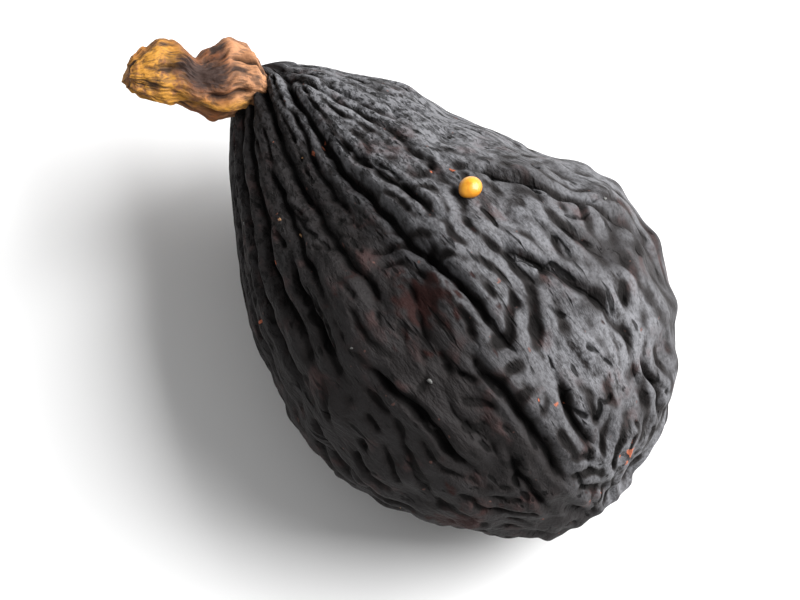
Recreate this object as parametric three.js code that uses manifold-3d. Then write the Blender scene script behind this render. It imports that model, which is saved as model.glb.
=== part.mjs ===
// A dried black fig with its woody stem, lying on its side as it rests on a table.
// Millimetres, +Z up. The table is z = 0, and the origin is the middle of the fig's
// box at table level. The neck with its stem points to -X and the eye, the small mouth
// at the fat end, to +X. The skin shrank on its flesh as it dried, so it is pleated
// from the stem outwards and puckered round the fat end.

import * as THREE from "three";
import { mergeVertices } from "three/addons/utils/BufferGeometryUtils.js";
import Module from "manifold-3d";

const wasm = await Module();
wasm.setup();

// Sizes of the fruit, in millimetres
const BODY_LENGTH = 38;
const HALF_WIDTH = 12.95;
const NECK_RADIUS = 2.25;
const MIDDLE_HEIGHT = 9.3;
const BOX_SHIFT = [2.7, -0.4];

// Its cross-section: height over half width, above and below the middle line,
// reached where the neck ends, and how square the section is
const UPPER_SHARE = 0.86;
const LOWER_SHARE = 0.78;
const NECK_END = 0.3;
const SQUARENESS = 2.15;

// Its pear profile: how fast it widens from the neck and closes at the eye
const PEAR_RISE = 0.9;
const PEAR_FALL = 0.56;
const NECK_FALL = 6;

// How its middle line bends, in degrees, and the shares of its length where it does
const NECK_TURN = -10;
const NECK_TURN_ENDS = 0.24;
const NECK_RISE = 2;
const EYE_DROOP = 30;
const DROOP_STARTS = 0.5;

// The eye, a socket with a low rim and fine radial pleats round it
const EYE_SOCKET_RADIUS = 2.3;
const EYE_SOCKET_DEPTH = 1.6;
const EYE_SCALES = 7;
const EYE_RIM = 0.35;
const EYE_PLEATS = 11;
const EYE_PLEAT_DEPTH = 0.2;

// The stem, its peg in the neck, and the gap between touching pieces
const PEG_RADIUS = 1.6;
const PEG_DEPTH = 2.6;
const KNOB_HALF_SIZE = [2.05, 1.1, 2.05];
const STEM_TURN = 68;
const STEM_LIFT = 19;
const GAP = 0.15;

// How finely the surfaces are divided
const SKIN_ROWS = 50;
const SKIN_COLUMNS = 106;
const ROW_CROWDING = 1.5;
const SPINE_STEPS = 200;
const STEM_ROWS = 24;
const STEM_COLUMNS = 24;

const DEGREE = Math.PI / 180;
const TURN = 2 * Math.PI;

// Small maths

function smoothstep(low, high, value) {
  const share = Math.min(1, Math.max(0, (value - low) / (high - low)));
  return share * share * (3 - 2 * share);
}

function bell(value) {
  return Math.exp(-value * value);
}

function wrapAngle(angle) {
  return angle - TURN * Math.round(angle / TURN);
}

// A smooth curve through evenly spaced values, share 0 to 1
function curveThrough(values, share) {
  const last = values.length - 1;
  const place = Math.min(0.999999, Math.max(0, share)) * last;
  const step = Math.floor(place);
  const f = place - step;
  const b = values[step];
  const c = values[step + 1];
  const a = step > 0 ? values[step - 1] : 2 * b - c;
  const d = step + 2 <= last ? values[step + 2] : 2 * c - b;
  const bend = 2 * a - 5 * b + 4 * c - d;
  const twist = 3 * b - a - 3 * c + d;
  return 0.5 * (2 * b + (c - a) * f + bend * f * f + twist * f * f * f);
}

// Seeded random numbers between two values
function randomNumbers(seed) {
  let state = seed;
  return (low, high) => {
    state = (state * 48271) % 2147483647;
    return low + ((high - low) * state) / 2147483647;
  };
}

// The fruit's middle line, from the neck (along = 0) to the eye (along = 1)

function spineDirection(along) {
  const turn = NECK_TURN * (1 - smoothstep(0, NECK_TURN_ENDS, along)) * DEGREE;
  const droop = EYE_DROOP * smoothstep(DROOP_STARTS, 1, along);
  const rise = NECK_RISE * (1 - smoothstep(0.1, 0.5, along));
  const pitch = (droop + rise) * DEGREE;
  return new THREE.Vector3(
    Math.cos(pitch) * Math.cos(turn),
    Math.cos(pitch) * Math.sin(turn),
    -Math.sin(pitch),
  );
}

function spineLine() {
  const points = [new THREE.Vector3(0, 0, 0)];
  for (let step = 0; step < SPINE_STEPS; step++) {
    const direction = spineDirection((step + 0.5) / SPINE_STEPS);
    const next = points[step].clone();
    points.push(next.addScaledVector(direction, BODY_LENGTH / SPINE_STEPS));
  }
  const middle = points[SPINE_STEPS / 2].clone();
  const wanted = new THREE.Vector3(...BOX_SHIFT, MIDDLE_HEIGHT);
  return points.map((point) => point.sub(middle).add(wanted));
}

const SPINE = spineLine();

function spinePoint(along) {
  const place = Math.min(1, Math.max(0, along)) * SPINE_STEPS;
  const step = Math.min(SPINE_STEPS - 1, Math.floor(place));
  return SPINE[step].clone().lerp(SPINE[step + 1], place - step);
}

// The smooth form under the folds: a pear, a little flatter below than above

const FATTEST = PEAR_RISE / (PEAR_RISE + PEAR_FALL);
const PEAR_PEAK = FATTEST ** PEAR_RISE * (1 - FATTEST) ** PEAR_FALL;

function pearRadius(along) {
  const rest = Math.max(0, 1 - along);
  const pear = (along ** PEAR_RISE * rest ** PEAR_FALL) / PEAR_PEAK;
  return HALF_WIDTH * pear + NECK_RADIUS * rest ** NECK_FALL;
}

// Angles go round the middle line from +Y (0) over the top (90 degrees)
function sectionRadius(along, angle) {
  const share = Math.sin(angle) > 0 ? UPPER_SHARE : LOWER_SHARE;
  const height = 1 + (share - 1) * smoothstep(0, NECK_END, along);
  const across = Math.abs(Math.cos(angle)) ** SQUARENESS;
  const upright = (Math.abs(Math.sin(angle)) / height) ** SQUARENESS;
  return pearRadius(along) / (across + upright) ** (1 / SQUARENESS);
}

function smoothPoint(along, angle) {
  const forward = spineDirection(along);
  const side = new THREE.Vector3(-forward.y, forward.x, 0).normalize();
  const up = new THREE.Vector3().crossVectors(forward, side);
  const radius = sectionRadius(along, angle);
  return spinePoint(along)
    .addScaledVector(side, radius * Math.cos(angle))
    .addScaledVector(up, radius * Math.sin(angle));
}

function smoothNormal(along, angle) {
  if (along > 0.9995) return spineDirection(1);
  const step = 0.002;
  const low = Math.max(0.001, along - step);
  const high = Math.min(0.9999, along + step);
  const lengthwise = smoothPoint(high, angle).sub(smoothPoint(low, angle));
  const round = smoothPoint(along, angle + step);
  round.sub(smoothPoint(along, angle - step));
  return round.cross(lengthwise).normalize();
}

// Broad bulges and dents: [along, angle, reach, height], the angle in degrees
const BULGES = [
  [0.68, 5, 7.5, 1.15],
  [0.36, 186, 6, 0.35],
  [0.34, 30, 5, -0.7],
  [0.8, 60, 5, 0.3],
  [0.84, 140, 4.5, -0.35],
  [0.5, 320, 6, -0.5],
  [0.75, 345, 4, -0.3],
  [0.86, 190, 5, -0.5],
  [0.62, 80, 4, 0.35],
  [0.338, 50, 1.1, -0.5],
  [0.39, 42, 0.9, -0.4],
].map(([along, angle, reach, height]) => ({
  centre: smoothPoint(along, angle * DEGREE),
  reach,
  height,
}));

function bulgeHeight(point) {
  let height = 0;
  for (const bulge of BULGES) {
    height += bulge.height * bell(point.distanceTo(bulge.centre) / bulge.reach);
  }
  return height;
}

// Folds of the skin: [from, to, angles, depth, half width]. They run from one share of
// the length to another through evenly spaced angles in degrees. Narrow ones are
// furrows between raised lips. Wide ones are facets, or ridges if the depth is below 0.
const WIDE = 1.3;

const FACETS_AND_RIDGES = [
  [0.12, 0.72, [112, 110, 108, 108], 0.85, 2.9],
  [0.04, 0.74, [70, 86, 89, 86, 84], -0.55, 1.5],
  [0.3, 0.85, [125, 128, 130, 126], -0.45, 1.7],
  [0.5, 0.9, [100, 97, 98], -0.35, 1.4],
];

const UPPER_FURROWS = [
  [-0.03, 0.76, [78, 95, 98, 95, 93], 1.2, 1.0],
  [0.66, 0.92, [106, 105, 107], 0.8, 0.85],
  [0.18, 0.57, [90, 88, 85, 82], 0.45, 0.75],
  [0.08, 0.42, [95, 105, 109, 108], 0.5, 0.8],
  [-0.03, 0.62, [104, 116, 121, 119, 120], 0.75, 0.9],
  [0.12, 0.52, [124, 132, 132, 133], 0.55, 0.75],
  [0.3, 0.62, [134, 140, 142, 143], 0.55, 0.75],
  [-0.03, 0.62, [122, 138, 147, 149, 150], 0.75, 0.9],
  [0.02, 0.64, [140, 152, 158, 160, 161], 0.7, 0.85],
  [-0.03, 0.6, [156, 165, 170, 172, 174], 0.7, 0.85],
  [0.56, 0.84, [137, 132, 133], 0.65, 0.8],
  [-0.02, 0.32, [72, 63, 57], 0.55, 0.75],
  [0.02, 0.49, [84, 70, 68, 73], 0.55, 0.75],
  [-0.02, 0.4, [38, 44, 42, 44], 0.5, 0.75],
  [-0.03, 0.45, [16, 27, 28, 30], 0.55, 0.8],
  [0.35, 0.75, [67, 56, 44, 27, 14], 0.6, 1.15],
  [0.57, 0.73, [55, 48, 36], 0.4, 1.0],
  [0.55, 0.8, [77, 68, 58, 50], 0.6, 1.1],
  [0.74, 0.9, [84, 90, 82], 0.5, 0.75],
  [0.78, 0.93, [51, 45, 37], 0.45, 0.75],
  [0.78, 0.94, [114, 121, 126], 0.45, 0.75],
];

// Pleats down the far side and the underside, evenly set out and jittered
function lowerPleats() {
  const random = randomNumbers(7411);
  const pleats = [];
  for (let angle = 188; angle < 376; angle += 14.5) {
    const start = angle + random(-3, 3);
    pleats.push([
      random(-0.03, 0.02),
      random(0.5, 0.85),
      [start, start + random(-6, 6), start + random(-6, 6)],
      random(0.5, 0.85),
      random(0.8, 1),
    ]);
  }
  return pleats;
}

// Short puckers all round the fat end
function fatEndPuckers() {
  const random = randomNumbers(90210);
  const puckers = [];
  for (let count = 0; count < 64; count++) {
    const from = random(0.45, 0.88);
    const start = random(0, 360);
    const slant = random(-12, 12);
    puckers.push([
      from,
      from + random(0.09, 0.17),
      [start, start + slant / 2 + random(-4, 4), start + slant],
      random(0.25, 0.45),
      random(0.8, 1),
    ]);
  }
  return puckers;
}

const FOLDS = [
  ...FACETS_AND_RIDGES,
  ...UPPER_FURROWS,
  ...lowerPleats(),
  ...fatEndPuckers(),
];

// Folds crowd together on the neck, so they narrow to a share of its girth
const NECK_PLEATS = 24;
const LIP_SHARE = 0.32;
const DEEPEST = 1.6;

function foldHeight(along, angle) {
  const radius = sectionRadius(along, angle);
  const room = (0.8 * TURN * radius) / NECK_PLEATS;
  let height = 0;
  for (const [from, to, angles, depth, halfWidth] of FOLDS) {
    const share = (along - from) / (to - from);
    if (share <= 0 || share >= 1) continue;
    const wide = halfWidth > WIDE;
    const width = Math.min(halfWidth, wide ? 3 * room : room);
    const centre = curveThrough(angles, share) * DEGREE;
    const across = Math.abs(wrapAngle(angle - centre) * radius) / width;
    if (across > 5) continue;
    const lead = from < 0.05 ? 0.08 : 0.3;
    const fade = smoothstep(0, lead, share) * (1 - smoothstep(0.65, 1, share));
    const lips = wide ? 0 : LIP_SHARE * bell(across - 2);
    height += ((depth * fade * width) / halfWidth) * (lips - bell(across));
  }
  return DEEPEST * Math.tanh(height / DEEPEST);
}

// The folds die out before the eye, which has its own rim and pleats
function eyeRelief(along, angle) {
  if (along < FATTEST) return { calm: 1, height: 0 };
  const fromMiddle = pearRadius(along) - EYE_SOCKET_RADIUS;
  const rim = EYE_RIM * bell((fromMiddle - 0.8) / 0.7);
  const pleats = EYE_PLEAT_DEPTH * Math.cos(EYE_PLEATS * angle);
  return {
    calm: smoothstep(0.4, 2.2, fromMiddle),
    height: rim + pleats * bell((fromMiddle - 2.4) / 1.5),
  };
}

function skinPoint(along, angle) {
  const point = smoothPoint(along, angle);
  const eyes = eyeRelief(along, angle);
  const relief = bulgeHeight(point) + foldHeight(along, angle);
  const height = eyes.calm * relief + eyes.height;
  return point.addScaledVector(smoothNormal(along, angle), height);
}

// Closed meshes and their solids

// A mesh over rings of points, with a closing point before the first and after the last
function ringsGeometry(rings, firstPoint, lastPoint) {
  const columns = rings[0].length;
  const points = [firstPoint, ...rings.flat(), lastPoint];
  const last = points.length - 1;
  const at = (row, column) => 1 + row * columns + (column % columns);
  const faces = [];
  for (let column = 0; column < columns; column++) {
    const end = rings.length - 1;
    faces.push(0, at(0, column + 1), at(0, column));
    faces.push(last, at(end, column), at(end, column + 1));
    for (let row = 0; row < end; row++) {
      const [a, b] = [at(row, column), at(row, column + 1)];
      const [c, d] = [at(row + 1, column), at(row + 1, column + 1)];
      if ((row + column) % 2) faces.push(a, b, c, b, d, c);
      else faces.push(a, b, d, a, d, c);
    }
  }
  const geometry = new THREE.BufferGeometry().setFromPoints(points);
  geometry.setIndex(faces);
  return geometry;
}

function solidOf(geometry) {
  const bare = geometry.clone();
  bare.deleteAttribute("normal");
  bare.deleteAttribute("uv");
  const merged = mergeVertices(bare, 1e-5);
  return new wasm.Manifold(
    new wasm.Mesh({
      numProp: 3,
      vertProperties: new Float32Array(merged.attributes.position.array),
      triVerts: new Uint32Array(merged.index.array),
    }),
  );
}

function meshOf(name, solid, color, roughness) {
  const { vertProperties, triVerts } = solid.getMesh();
  const positions = new Float32Array(vertProperties);
  const geometry = new THREE.BufferGeometry();
  geometry.setAttribute("position", new THREE.BufferAttribute(positions, 3));
  geometry.setIndex(new THREE.BufferAttribute(new Uint32Array(triVerts), 1));
  geometry.computeVertexNormals();
  const material = new THREE.MeshStandardMaterial({ color, roughness });
  const mesh = new THREE.Mesh(geometry, material);
  mesh.name = name;
  return mesh;
}

// A matrix that stands a shape's +Y axis along a direction at a place
function standing(place, direction) {
  const turn = new THREE.Quaternion().setFromUnitVectors(
    new THREE.Vector3(0, 1, 0),
    direction.clone().normalize(),
  );
  return new THREE.Matrix4().compose(place, turn, new THREE.Vector3(1, 1, 1));
}

// Stem: a stub of dry wood laid across the neck's tip, knobbed at its foot, waisted,
// and broad and blunt where it broke off the twig. A round knob caps the neck's tip
// and a peg below it holds the stem in the neck.

const neck = {
  tip: spinePoint(0),
  outward: spineDirection(0).negate(),
};

// Along the stem: [distance, sideways shift, half breadth, half thickness]
const STEM_STATIONS = [
  [0, -0.6, 1.0, 1.0],
  [0.4, -0.55, 1.85, 1.5],
  [1.1, -0.2, 2.4, 1.9],
  [2.4, 0.0, 2.75, 1.9],
  [3.6, -0.45, 2.55, 1.7],
  [5.2, -0.45, 1.95, 1.5],
  [6.4, 0.2, 2.2, 1.45],
  [7.6, 0.35, 2.3, 1.4],
  [8.8, 0.15, 1.9, 1.25],
  [9.8, 0.0, 1.25, 0.95],
  [10.5, -0.1, 0.45, 0.5],
];
const STEM_LENGTH = STEM_STATIONS.at(-1)[0];

// Where the stem's foot sits from the neck's tip: outwards, forwards, up and sideways
const STEM_SEAT = { outward: 0.2, forward: 0.9, lift: 1.3, sideways: -0.9 };

function stemAxes() {
  const upright = new THREE.Vector3(0, 0, 1);
  const level = neck.outward.clone().setZ(0).normalize();
  const forward = level
    .applyAxisAngle(upright, STEM_TURN * DEGREE)
    .multiplyScalar(Math.cos(STEM_LIFT * DEGREE))
    .setZ(Math.sin(STEM_LIFT * DEGREE));
  const broad = new THREE.Vector3().crossVectors(forward, upright).normalize();
  const thick = new THREE.Vector3().crossVectors(broad, forward);
  const foot = neck.tip
    .clone()
    .addScaledVector(neck.outward, STEM_SEAT.outward)
    .addScaledVector(forward, STEM_SEAT.forward)
    .addScaledVector(thick, STEM_SEAT.lift)
    .addScaledVector(broad, STEM_SEAT.sideways);
  return { forward, broad, thick, foot };
}

function stemStation(distance) {
  const found = STEM_STATIONS.findIndex(([at]) => at >= distance);
  const next = found < 1 ? 1 : found;
  const [low, high] = [STEM_STATIONS[next - 1], STEM_STATIONS[next]];
  const blend = smoothstep(low[0], high[0], distance);
  return low.map((value, index) => value + (high[index] - value) * blend);
}

function stemSolid(margin) {
  const { forward, broad, thick, foot } = stemAxes();
  const place = (distance, across, over) =>
    foot
      .clone()
      .addScaledVector(forward, distance)
      .addScaledVector(broad, across)
      .addScaledVector(thick, over);
  const rings = [];
  for (let row = 0; row <= STEM_ROWS; row++) {
    const distance = (row / STEM_ROWS) * STEM_LENGTH;
    const [, shift, breadth, thickness] = stemStation(distance);
    const ring = [];
    for (let column = 0; column < STEM_COLUMNS; column++) {
      const angle = (-TURN * column) / STEM_COLUMNS;
      const fibres =
        0.05 * Math.sin(7 * angle + 0.7 * distance) +
        0.05 * Math.sin(4 * angle - 0.5 * distance + 1);
      const swell = 1 + fibres;
      ring.push(
        place(
          distance,
          shift + (breadth * swell + margin) * Math.cos(angle),
          (thickness * swell + margin) * Math.sin(angle),
        ),
      );
    }
    rings.push(ring);
  }
  const firstPoint = place(-margin - 0.1, STEM_STATIONS[0][1], 0);
  const lastPoint = place(STEM_LENGTH + 0.2, STEM_STATIONS.at(-1)[1], 0);
  const stub = solidOf(ringsGeometry(rings, firstPoint, lastPoint));

  const radius = PEG_RADIUS + margin;
  const length = PEG_DEPTH + margin;
  const peg = new THREE.CylinderGeometry(radius, radius, length, 16);
  peg.translate(0, -length / 2, 0);
  const knob = new THREE.SphereGeometry(1, 16, 8);
  knob.scale(...KNOB_HALF_SIZE.map((half) => half + margin));
  knob.translate(0, 0.2, 0);
  const seated = standing(neck.tip, neck.outward).elements;
  return stub.add(solidOf(peg).add(solidOf(knob)).transform(seated));
}

// Eye: a ring of small scales that lean in over the mouth, on one disc

function eyeSolid() {
  const radius = EYE_SOCKET_RADIUS - GAP;
  const disc = new THREE.CylinderGeometry(radius, radius, 0.6, 24);
  disc.translate(0, GAP + 0.3 - EYE_SOCKET_DEPTH, 0);
  let solid = solidOf(disc);
  for (let count = 0; count < EYE_SCALES; count++) {
    const scale = new THREE.SphereGeometry(1, 10, 7);
    scale.scale(0.75, 0.95, 0.34);
    scale.rotateX(-0.62);
    scale.translate(0, GAP - 0.55, 1.28 + 0.1 * (count % 2));
    scale.rotateY((count * TURN) / EYE_SCALES + 0.12 * (count % 3));
    solid = solid.add(solidOf(scale));
  }
  return solid.transform(standing(spinePoint(1), spineDirection(1)).elements);
}

// A seed that stuck to the skin as it dried, pressed a little into it

const SEED_HALF_SIZE = [0.68, 0.62, 0.82];
const SEED_PLACE = [0.476, 68 * DEGREE];
const SEED_STANDS_OUT = 0.3;

function seedSolid(margin) {
  const seed = new THREE.SphereGeometry(1, 16, 10);
  seed.scale(...SEED_HALF_SIZE.map((half) => half + margin));
  const outward = smoothNormal(...SEED_PLACE);
  const place = skinPoint(...SEED_PLACE);
  place.addScaledVector(outward, SEED_STANDS_OUT);
  return solidOf(seed).transform(standing(place, outward).elements);
}

// Fruit: the skin's solid, flat where it lies, with seats for stem, eye and seed

function fruitSolid() {
  const rings = [];
  for (let row = 0; row < SKIN_ROWS; row++) {
    const along = 1 - (1 - row / SKIN_ROWS) ** ROW_CROWDING;
    const ring = [];
    for (let column = 0; column < SKIN_COLUMNS; column++) {
      ring.push(skinPoint(along, (TURN * column) / SKIN_COLUMNS));
    }
    rings.push(ring);
  }
  const skin = solidOf(ringsGeometry(rings, spinePoint(0), spinePoint(1)));

  const below = new THREE.BoxGeometry(100, 100, 20).translate(0, 0, -10);
  const eyeSocket = new THREE.CylinderGeometry(
    EYE_SOCKET_RADIUS,
    EYE_SOCKET_RADIUS,
    2 * EYE_SOCKET_DEPTH,
    24,
  );
  const eyePlace = standing(spinePoint(1), spineDirection(1)).elements;
  return skin
    .subtract(solidOf(below))
    .subtract(stemSolid(GAP))
    .subtract(solidOf(eyeSocket).transform(eyePlace))
    .subtract(seedSolid(GAP));
}

const fig = new THREE.Group();
fig.add(meshOf("fruit", fruitSolid(), 0x2b282a, 0.5));
fig.add(meshOf("stem", stemSolid(0), 0xa8713c, 0.75));
fig.add(meshOf("eye_scales", eyeSolid(), 0x8a4f2c, 0.65));
fig.add(meshOf("stuck_seed", seedSolid(0), 0xe0ac3c, 0.4));

export default fig;
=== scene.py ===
"""Looks of a dried black fig that lies on a pale table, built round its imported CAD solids.

The fruit's skin follows the formula of the CAD part, in millimetres, and adds the fine
wrinkles that a drying skin falls into. The stem, the eye's scales and the seed that sticks
to the skin take the places of their CAD solids. All meshes are written in metres.
"""

import logging
import math
from collections.abc import Callable
from dataclasses import dataclass, field
from enum import Enum
from typing import Any

import bpy
import numpy as np
from mathutils import Matrix, Vector


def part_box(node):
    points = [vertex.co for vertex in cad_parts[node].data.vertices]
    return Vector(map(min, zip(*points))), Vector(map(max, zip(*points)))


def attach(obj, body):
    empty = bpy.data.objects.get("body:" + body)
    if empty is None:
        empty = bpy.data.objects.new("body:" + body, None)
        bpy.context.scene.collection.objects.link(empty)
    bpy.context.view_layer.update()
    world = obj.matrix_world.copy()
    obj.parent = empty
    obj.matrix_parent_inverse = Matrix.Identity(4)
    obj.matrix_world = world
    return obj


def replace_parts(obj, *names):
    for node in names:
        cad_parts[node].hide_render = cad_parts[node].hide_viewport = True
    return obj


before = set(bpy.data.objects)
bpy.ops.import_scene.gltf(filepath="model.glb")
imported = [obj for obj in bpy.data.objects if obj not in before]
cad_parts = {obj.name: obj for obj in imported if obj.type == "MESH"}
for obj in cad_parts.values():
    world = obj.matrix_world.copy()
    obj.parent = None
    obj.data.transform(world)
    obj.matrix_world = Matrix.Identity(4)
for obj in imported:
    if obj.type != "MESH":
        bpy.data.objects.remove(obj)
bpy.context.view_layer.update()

LOG = logging.getLogger("dried_fig")
MM = 0.001
DEGREE = math.pi / 180
TURN = 2 * math.pi

Array = np.ndarray
Colour = tuple[float, float, float]
Faces = list[tuple[int, ...]]
Value = Any


class Slot(Enum):
    """The record's material slots."""

    SKIN = "fig_skin"
    STEM = "stem_bark"
    SCALE = "eye_scale"
    SEED = "fig_seed"


# Small maths


def smoothstep(low: float, high: float, value: Any) -> Array:
    """Rise from 0 at low to 1 at high, which may be the lower of the two, with level ends."""
    share = np.clip((np.asarray(value, float) - low) / (high - low), 0, 1)
    return share * share * (3 - 2 * share)


def bell(value: Any) -> Array:
    """Give a bell curve's height at a distance in half widths."""
    return np.exp(-np.square(value))


def trough(value: Array) -> Array:
    """Give a furrow's depth at a distance in half widths, narrower than a bell's."""
    return np.exp(-1.3 * value**1.4)


def between(start: float, end: float, share: Array) -> Array:
    """Go from one value to another by a share."""
    return start + (end - start) * share


def wrap(angle: Array) -> Array:
    """Bring angles in radians to the half turn on either side of zero."""
    return angle - TURN * np.round(angle / TURN)


def near(angle: Array, degrees: float, reach: float) -> Array:
    """Give a bell round an angle in degrees, with its half width in degrees."""
    return bell(wrap(angle - degrees * DEGREE) / (reach * DEGREE))


def lasting(share: Array, lead: float, tail: float) -> Array:
    """Set in over the first share of a way, and fade out after the tail's."""
    return smoothstep(0, lead, share) * (1 - smoothstep(tail, 1, share))


def spline(a: Array, b: Array, c: Array, d: Array, f: Array) -> Array:
    """Go smoothly from b to c by a share, with a before them and d after them."""
    bend, twist = 2 * a - 5 * b + 4 * c - d, 3 * b - a - 3 * c + d
    return 0.5 * (2 * b + (c - a) * f + bend * f * f + twist * f**3)


def curve_through(values: tuple[float, ...], share: Array) -> Array:
    """Follow a smooth curve through evenly spaced values.

    Args:
        values: The values that the curve passes.
        share: Places along it, from 0 to 1.

    Returns:
        The curve's value at each place.
    """
    place = np.clip(share, 0, 0.999999) * (len(values) - 1)
    step = np.floor(place).astype(int)
    before, after = 2 * values[0] - values[1], 2 * values[-1] - values[-2]
    held = np.array([before, *values, after], float)
    return spline(held[step], held[step + 1], held[step + 2], held[step + 3], place - step)


def cloudy(seed: int, shape: tuple[int, int], detail: tuple[float, float]) -> Array:
    """Make smooth random unevenness over a grid, seamless at its edges.

    Args:
        seed: The random seed.
        shape: Rows and columns of the grid.
        detail: About how many waves fit along the rows and along the columns.

    Returns:
        Values with mean 0 and spread 1.
    """
    spectrum = np.fft.fft2(np.random.default_rng(seed).standard_normal(shape))
    rows = np.fft.fftfreq(shape[0], 1 / shape[0])[:, None]
    columns = np.fft.fftfreq(shape[1], 1 / shape[1])[None]
    spectrum *= np.exp(-((rows / detail[0]) ** 2) - (columns / detail[1]) ** 2)
    values = np.real(np.fft.ifft2(spectrum))
    return (values - values.mean()) / values.std()


def lengths(vectors: Array) -> Array:
    """Measure vectors that lie along the last axis, keeping that axis."""
    return np.linalg.norm(vectors, axis=-1, keepdims=True)


@dataclass
class Dice:
    """Seeded random numbers, the same sequence as the CAD part's."""

    state: int
    factor: int = 48271
    modulus: int = 2147483647

    def __call__(self, low: float, high: float) -> float:
        """Draw the next number between two values."""
        self.state = self.state * self.factor % self.modulus
        return low + (high - low) * self.state / self.modulus


# The fruit's own form


@dataclass(frozen=True)
class FigForm:
    """The smooth pear under the folds, in millimetres, as the CAD part has it.

    A place on it is a share of the length, 0 at the neck and 1 at the eye, and an angle in
    radians round the middle line, from +Y over the top.
    """

    body_length: float = 38.0
    half_width: float = 12.95
    neck_radius: float = 2.25
    middle: tuple[float, float, float] = (2.7, -0.4, 9.3)
    upper_share: float = 0.86
    lower_share: float = 0.78
    neck_end: float = 0.3
    squareness: float = 2.15
    pear_rise: float = 0.9
    pear_fall: float = 0.56
    neck_fall: float = 6.0
    neck_turn: float = -10.0
    neck_turn_ends: float = 0.24
    neck_rise: float = 2.0
    neck_rise_fades: tuple[float, float] = (0.1, 0.5)
    eye_droop: float = 30.0
    droop_starts: float = 0.5
    spine_steps: int = 200
    arc_steps: int = 2000

    @property
    def fattest(self) -> float:
        """The share of the length at which the fruit is fattest."""
        return self.pear_rise / (self.pear_rise + self.pear_fall)

    def direction(self, along: Any) -> Array:
        """Find the middle line's direction.

        Args:
            along: Shares of the length.

        Returns:
            Vectors of length 1, towards the eye.
        """
        along = np.asarray(along, float)
        turn = self.neck_turn * (1 - smoothstep(0, self.neck_turn_ends, along)) * DEGREE
        droop = self.eye_droop * smoothstep(self.droop_starts, 1, along)
        rise = self.neck_rise * (1 - smoothstep(*self.neck_rise_fades, along))
        pitch = (droop + rise) * DEGREE
        level = np.cos(pitch)
        return np.stack([level * np.cos(turn), level * np.sin(turn), -np.sin(pitch)], -1)

    def spine_point(self, along: Any) -> Array:
        """Find points of the middle line.

        Args:
            along: Shares of the length.

        Returns:
            The points.
        """
        steps = (np.arange(self.spine_steps) + 0.5) / self.spine_steps
        pieces = self.direction(steps) * (self.body_length / self.spine_steps)
        line = np.concatenate([np.zeros((1, 3)), np.cumsum(pieces, 0)])
        line += np.array(self.middle) - line[self.spine_steps // 2]
        place = np.clip(along, 0, 1) * self.spine_steps
        step = np.minimum(self.spine_steps - 1, np.floor(place).astype(int))
        f = (place - step)[..., None]
        return line[step] * (1 - f) + line[step + 1] * f

    def pear_radius(self, along: Any) -> Array:
        """Find the fruit's half width.

        Args:
            along: Shares of the length.

        Returns:
            The half widths.
        """
        peak = self.fattest**self.pear_rise * (1 - self.fattest) ** self.pear_fall
        rest = np.maximum(0, 1 - np.asarray(along, float))
        pear = along**self.pear_rise * rest**self.pear_fall / peak
        return self.half_width * pear + self.neck_radius * rest**self.neck_fall

    def section_radius(self, along: Array, angle: Array) -> Array:
        """Measure from the middle line to the smooth surface.

        Args:
            along: Shares of the length.
            angle: Angles in radians.

        Returns:
            The distances.
        """
        share = np.where(np.sin(angle) > 0, self.upper_share, self.lower_share)
        height = 1 + (share - 1) * smoothstep(0, self.neck_end, along)
        across = np.abs(np.cos(angle)) ** self.squareness
        upright = (np.abs(np.sin(angle)) / height) ** self.squareness
        return self.pear_radius(along) / (across + upright) ** (1 / self.squareness)

    def point(self, along: Any, angle: Any) -> Array:
        """Find points of the smooth surface.

        Args:
            along: Shares of the length.
            angle: Angles in radians.

        Returns:
            The points.
        """
        along, angle = np.asarray(along, float), np.asarray(angle, float)
        forward = self.direction(along)
        level = np.zeros_like(forward[..., 0])
        side = np.stack([-forward[..., 1], forward[..., 0], level], -1)
        side /= lengths(side)
        radius = self.section_radius(along, angle)[..., None]
        across, over = radius * np.cos(angle)[..., None], radius * np.sin(angle)[..., None]
        return self.spine_point(along) + side * across + np.cross(forward, side) * over

    def normal(self, along: Any, angle: Any) -> Array:
        """Find the smooth surface's outward directions.

        Args:
            along: Shares of the length.
            angle: Angles in radians.

        Returns:
            Vectors of length 1.
        """
        along, angle, step = np.asarray(along, float), np.asarray(angle, float), 0.002
        low, high = np.maximum(0.001, along - step), np.minimum(0.9999, along + step)
        lengthwise = self.point(high, angle) - self.point(low, angle)
        round_it = self.point(along, angle + step) - self.point(along, angle - step)
        normal = np.cross(round_it, lengthwise)
        normal /= lengths(normal) + 1e-12
        return np.where((along > 0.9995)[..., None], self.direction(1.0), normal)

    def arc_table(self) -> tuple[Array, Array]:
        """Measure the way along the surface from the neck to the eye.

        Returns:
            Shares of the length, and the way to each in millimetres.
        """
        along = np.linspace(0, 1, self.arc_steps + 1)
        rises = np.diff(self.pear_radius(along))
        way = np.cumsum(np.hypot(self.body_length / self.arc_steps, rises))
        return along, np.concatenate([[0], way])


@dataclass(frozen=True)
class Fold:
    """One fold: where it starts and ends, its angles in degrees, depth and half width."""

    start: float
    end: float
    angles: tuple[float, ...]
    depth: float
    half_width: float


FACETS_AND_RIDGES = (
    Fold(0.12, 0.72, (112, 110, 108, 108), 0.85, 2.9),
    Fold(0.04, 0.74, (70, 86, 89, 86, 84), -0.55, 1.5),
    Fold(0.3, 0.85, (125, 128, 130, 126), -0.45, 1.7),
    Fold(0.5, 0.9, (100, 97, 98), -0.35, 1.4),
)

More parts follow.
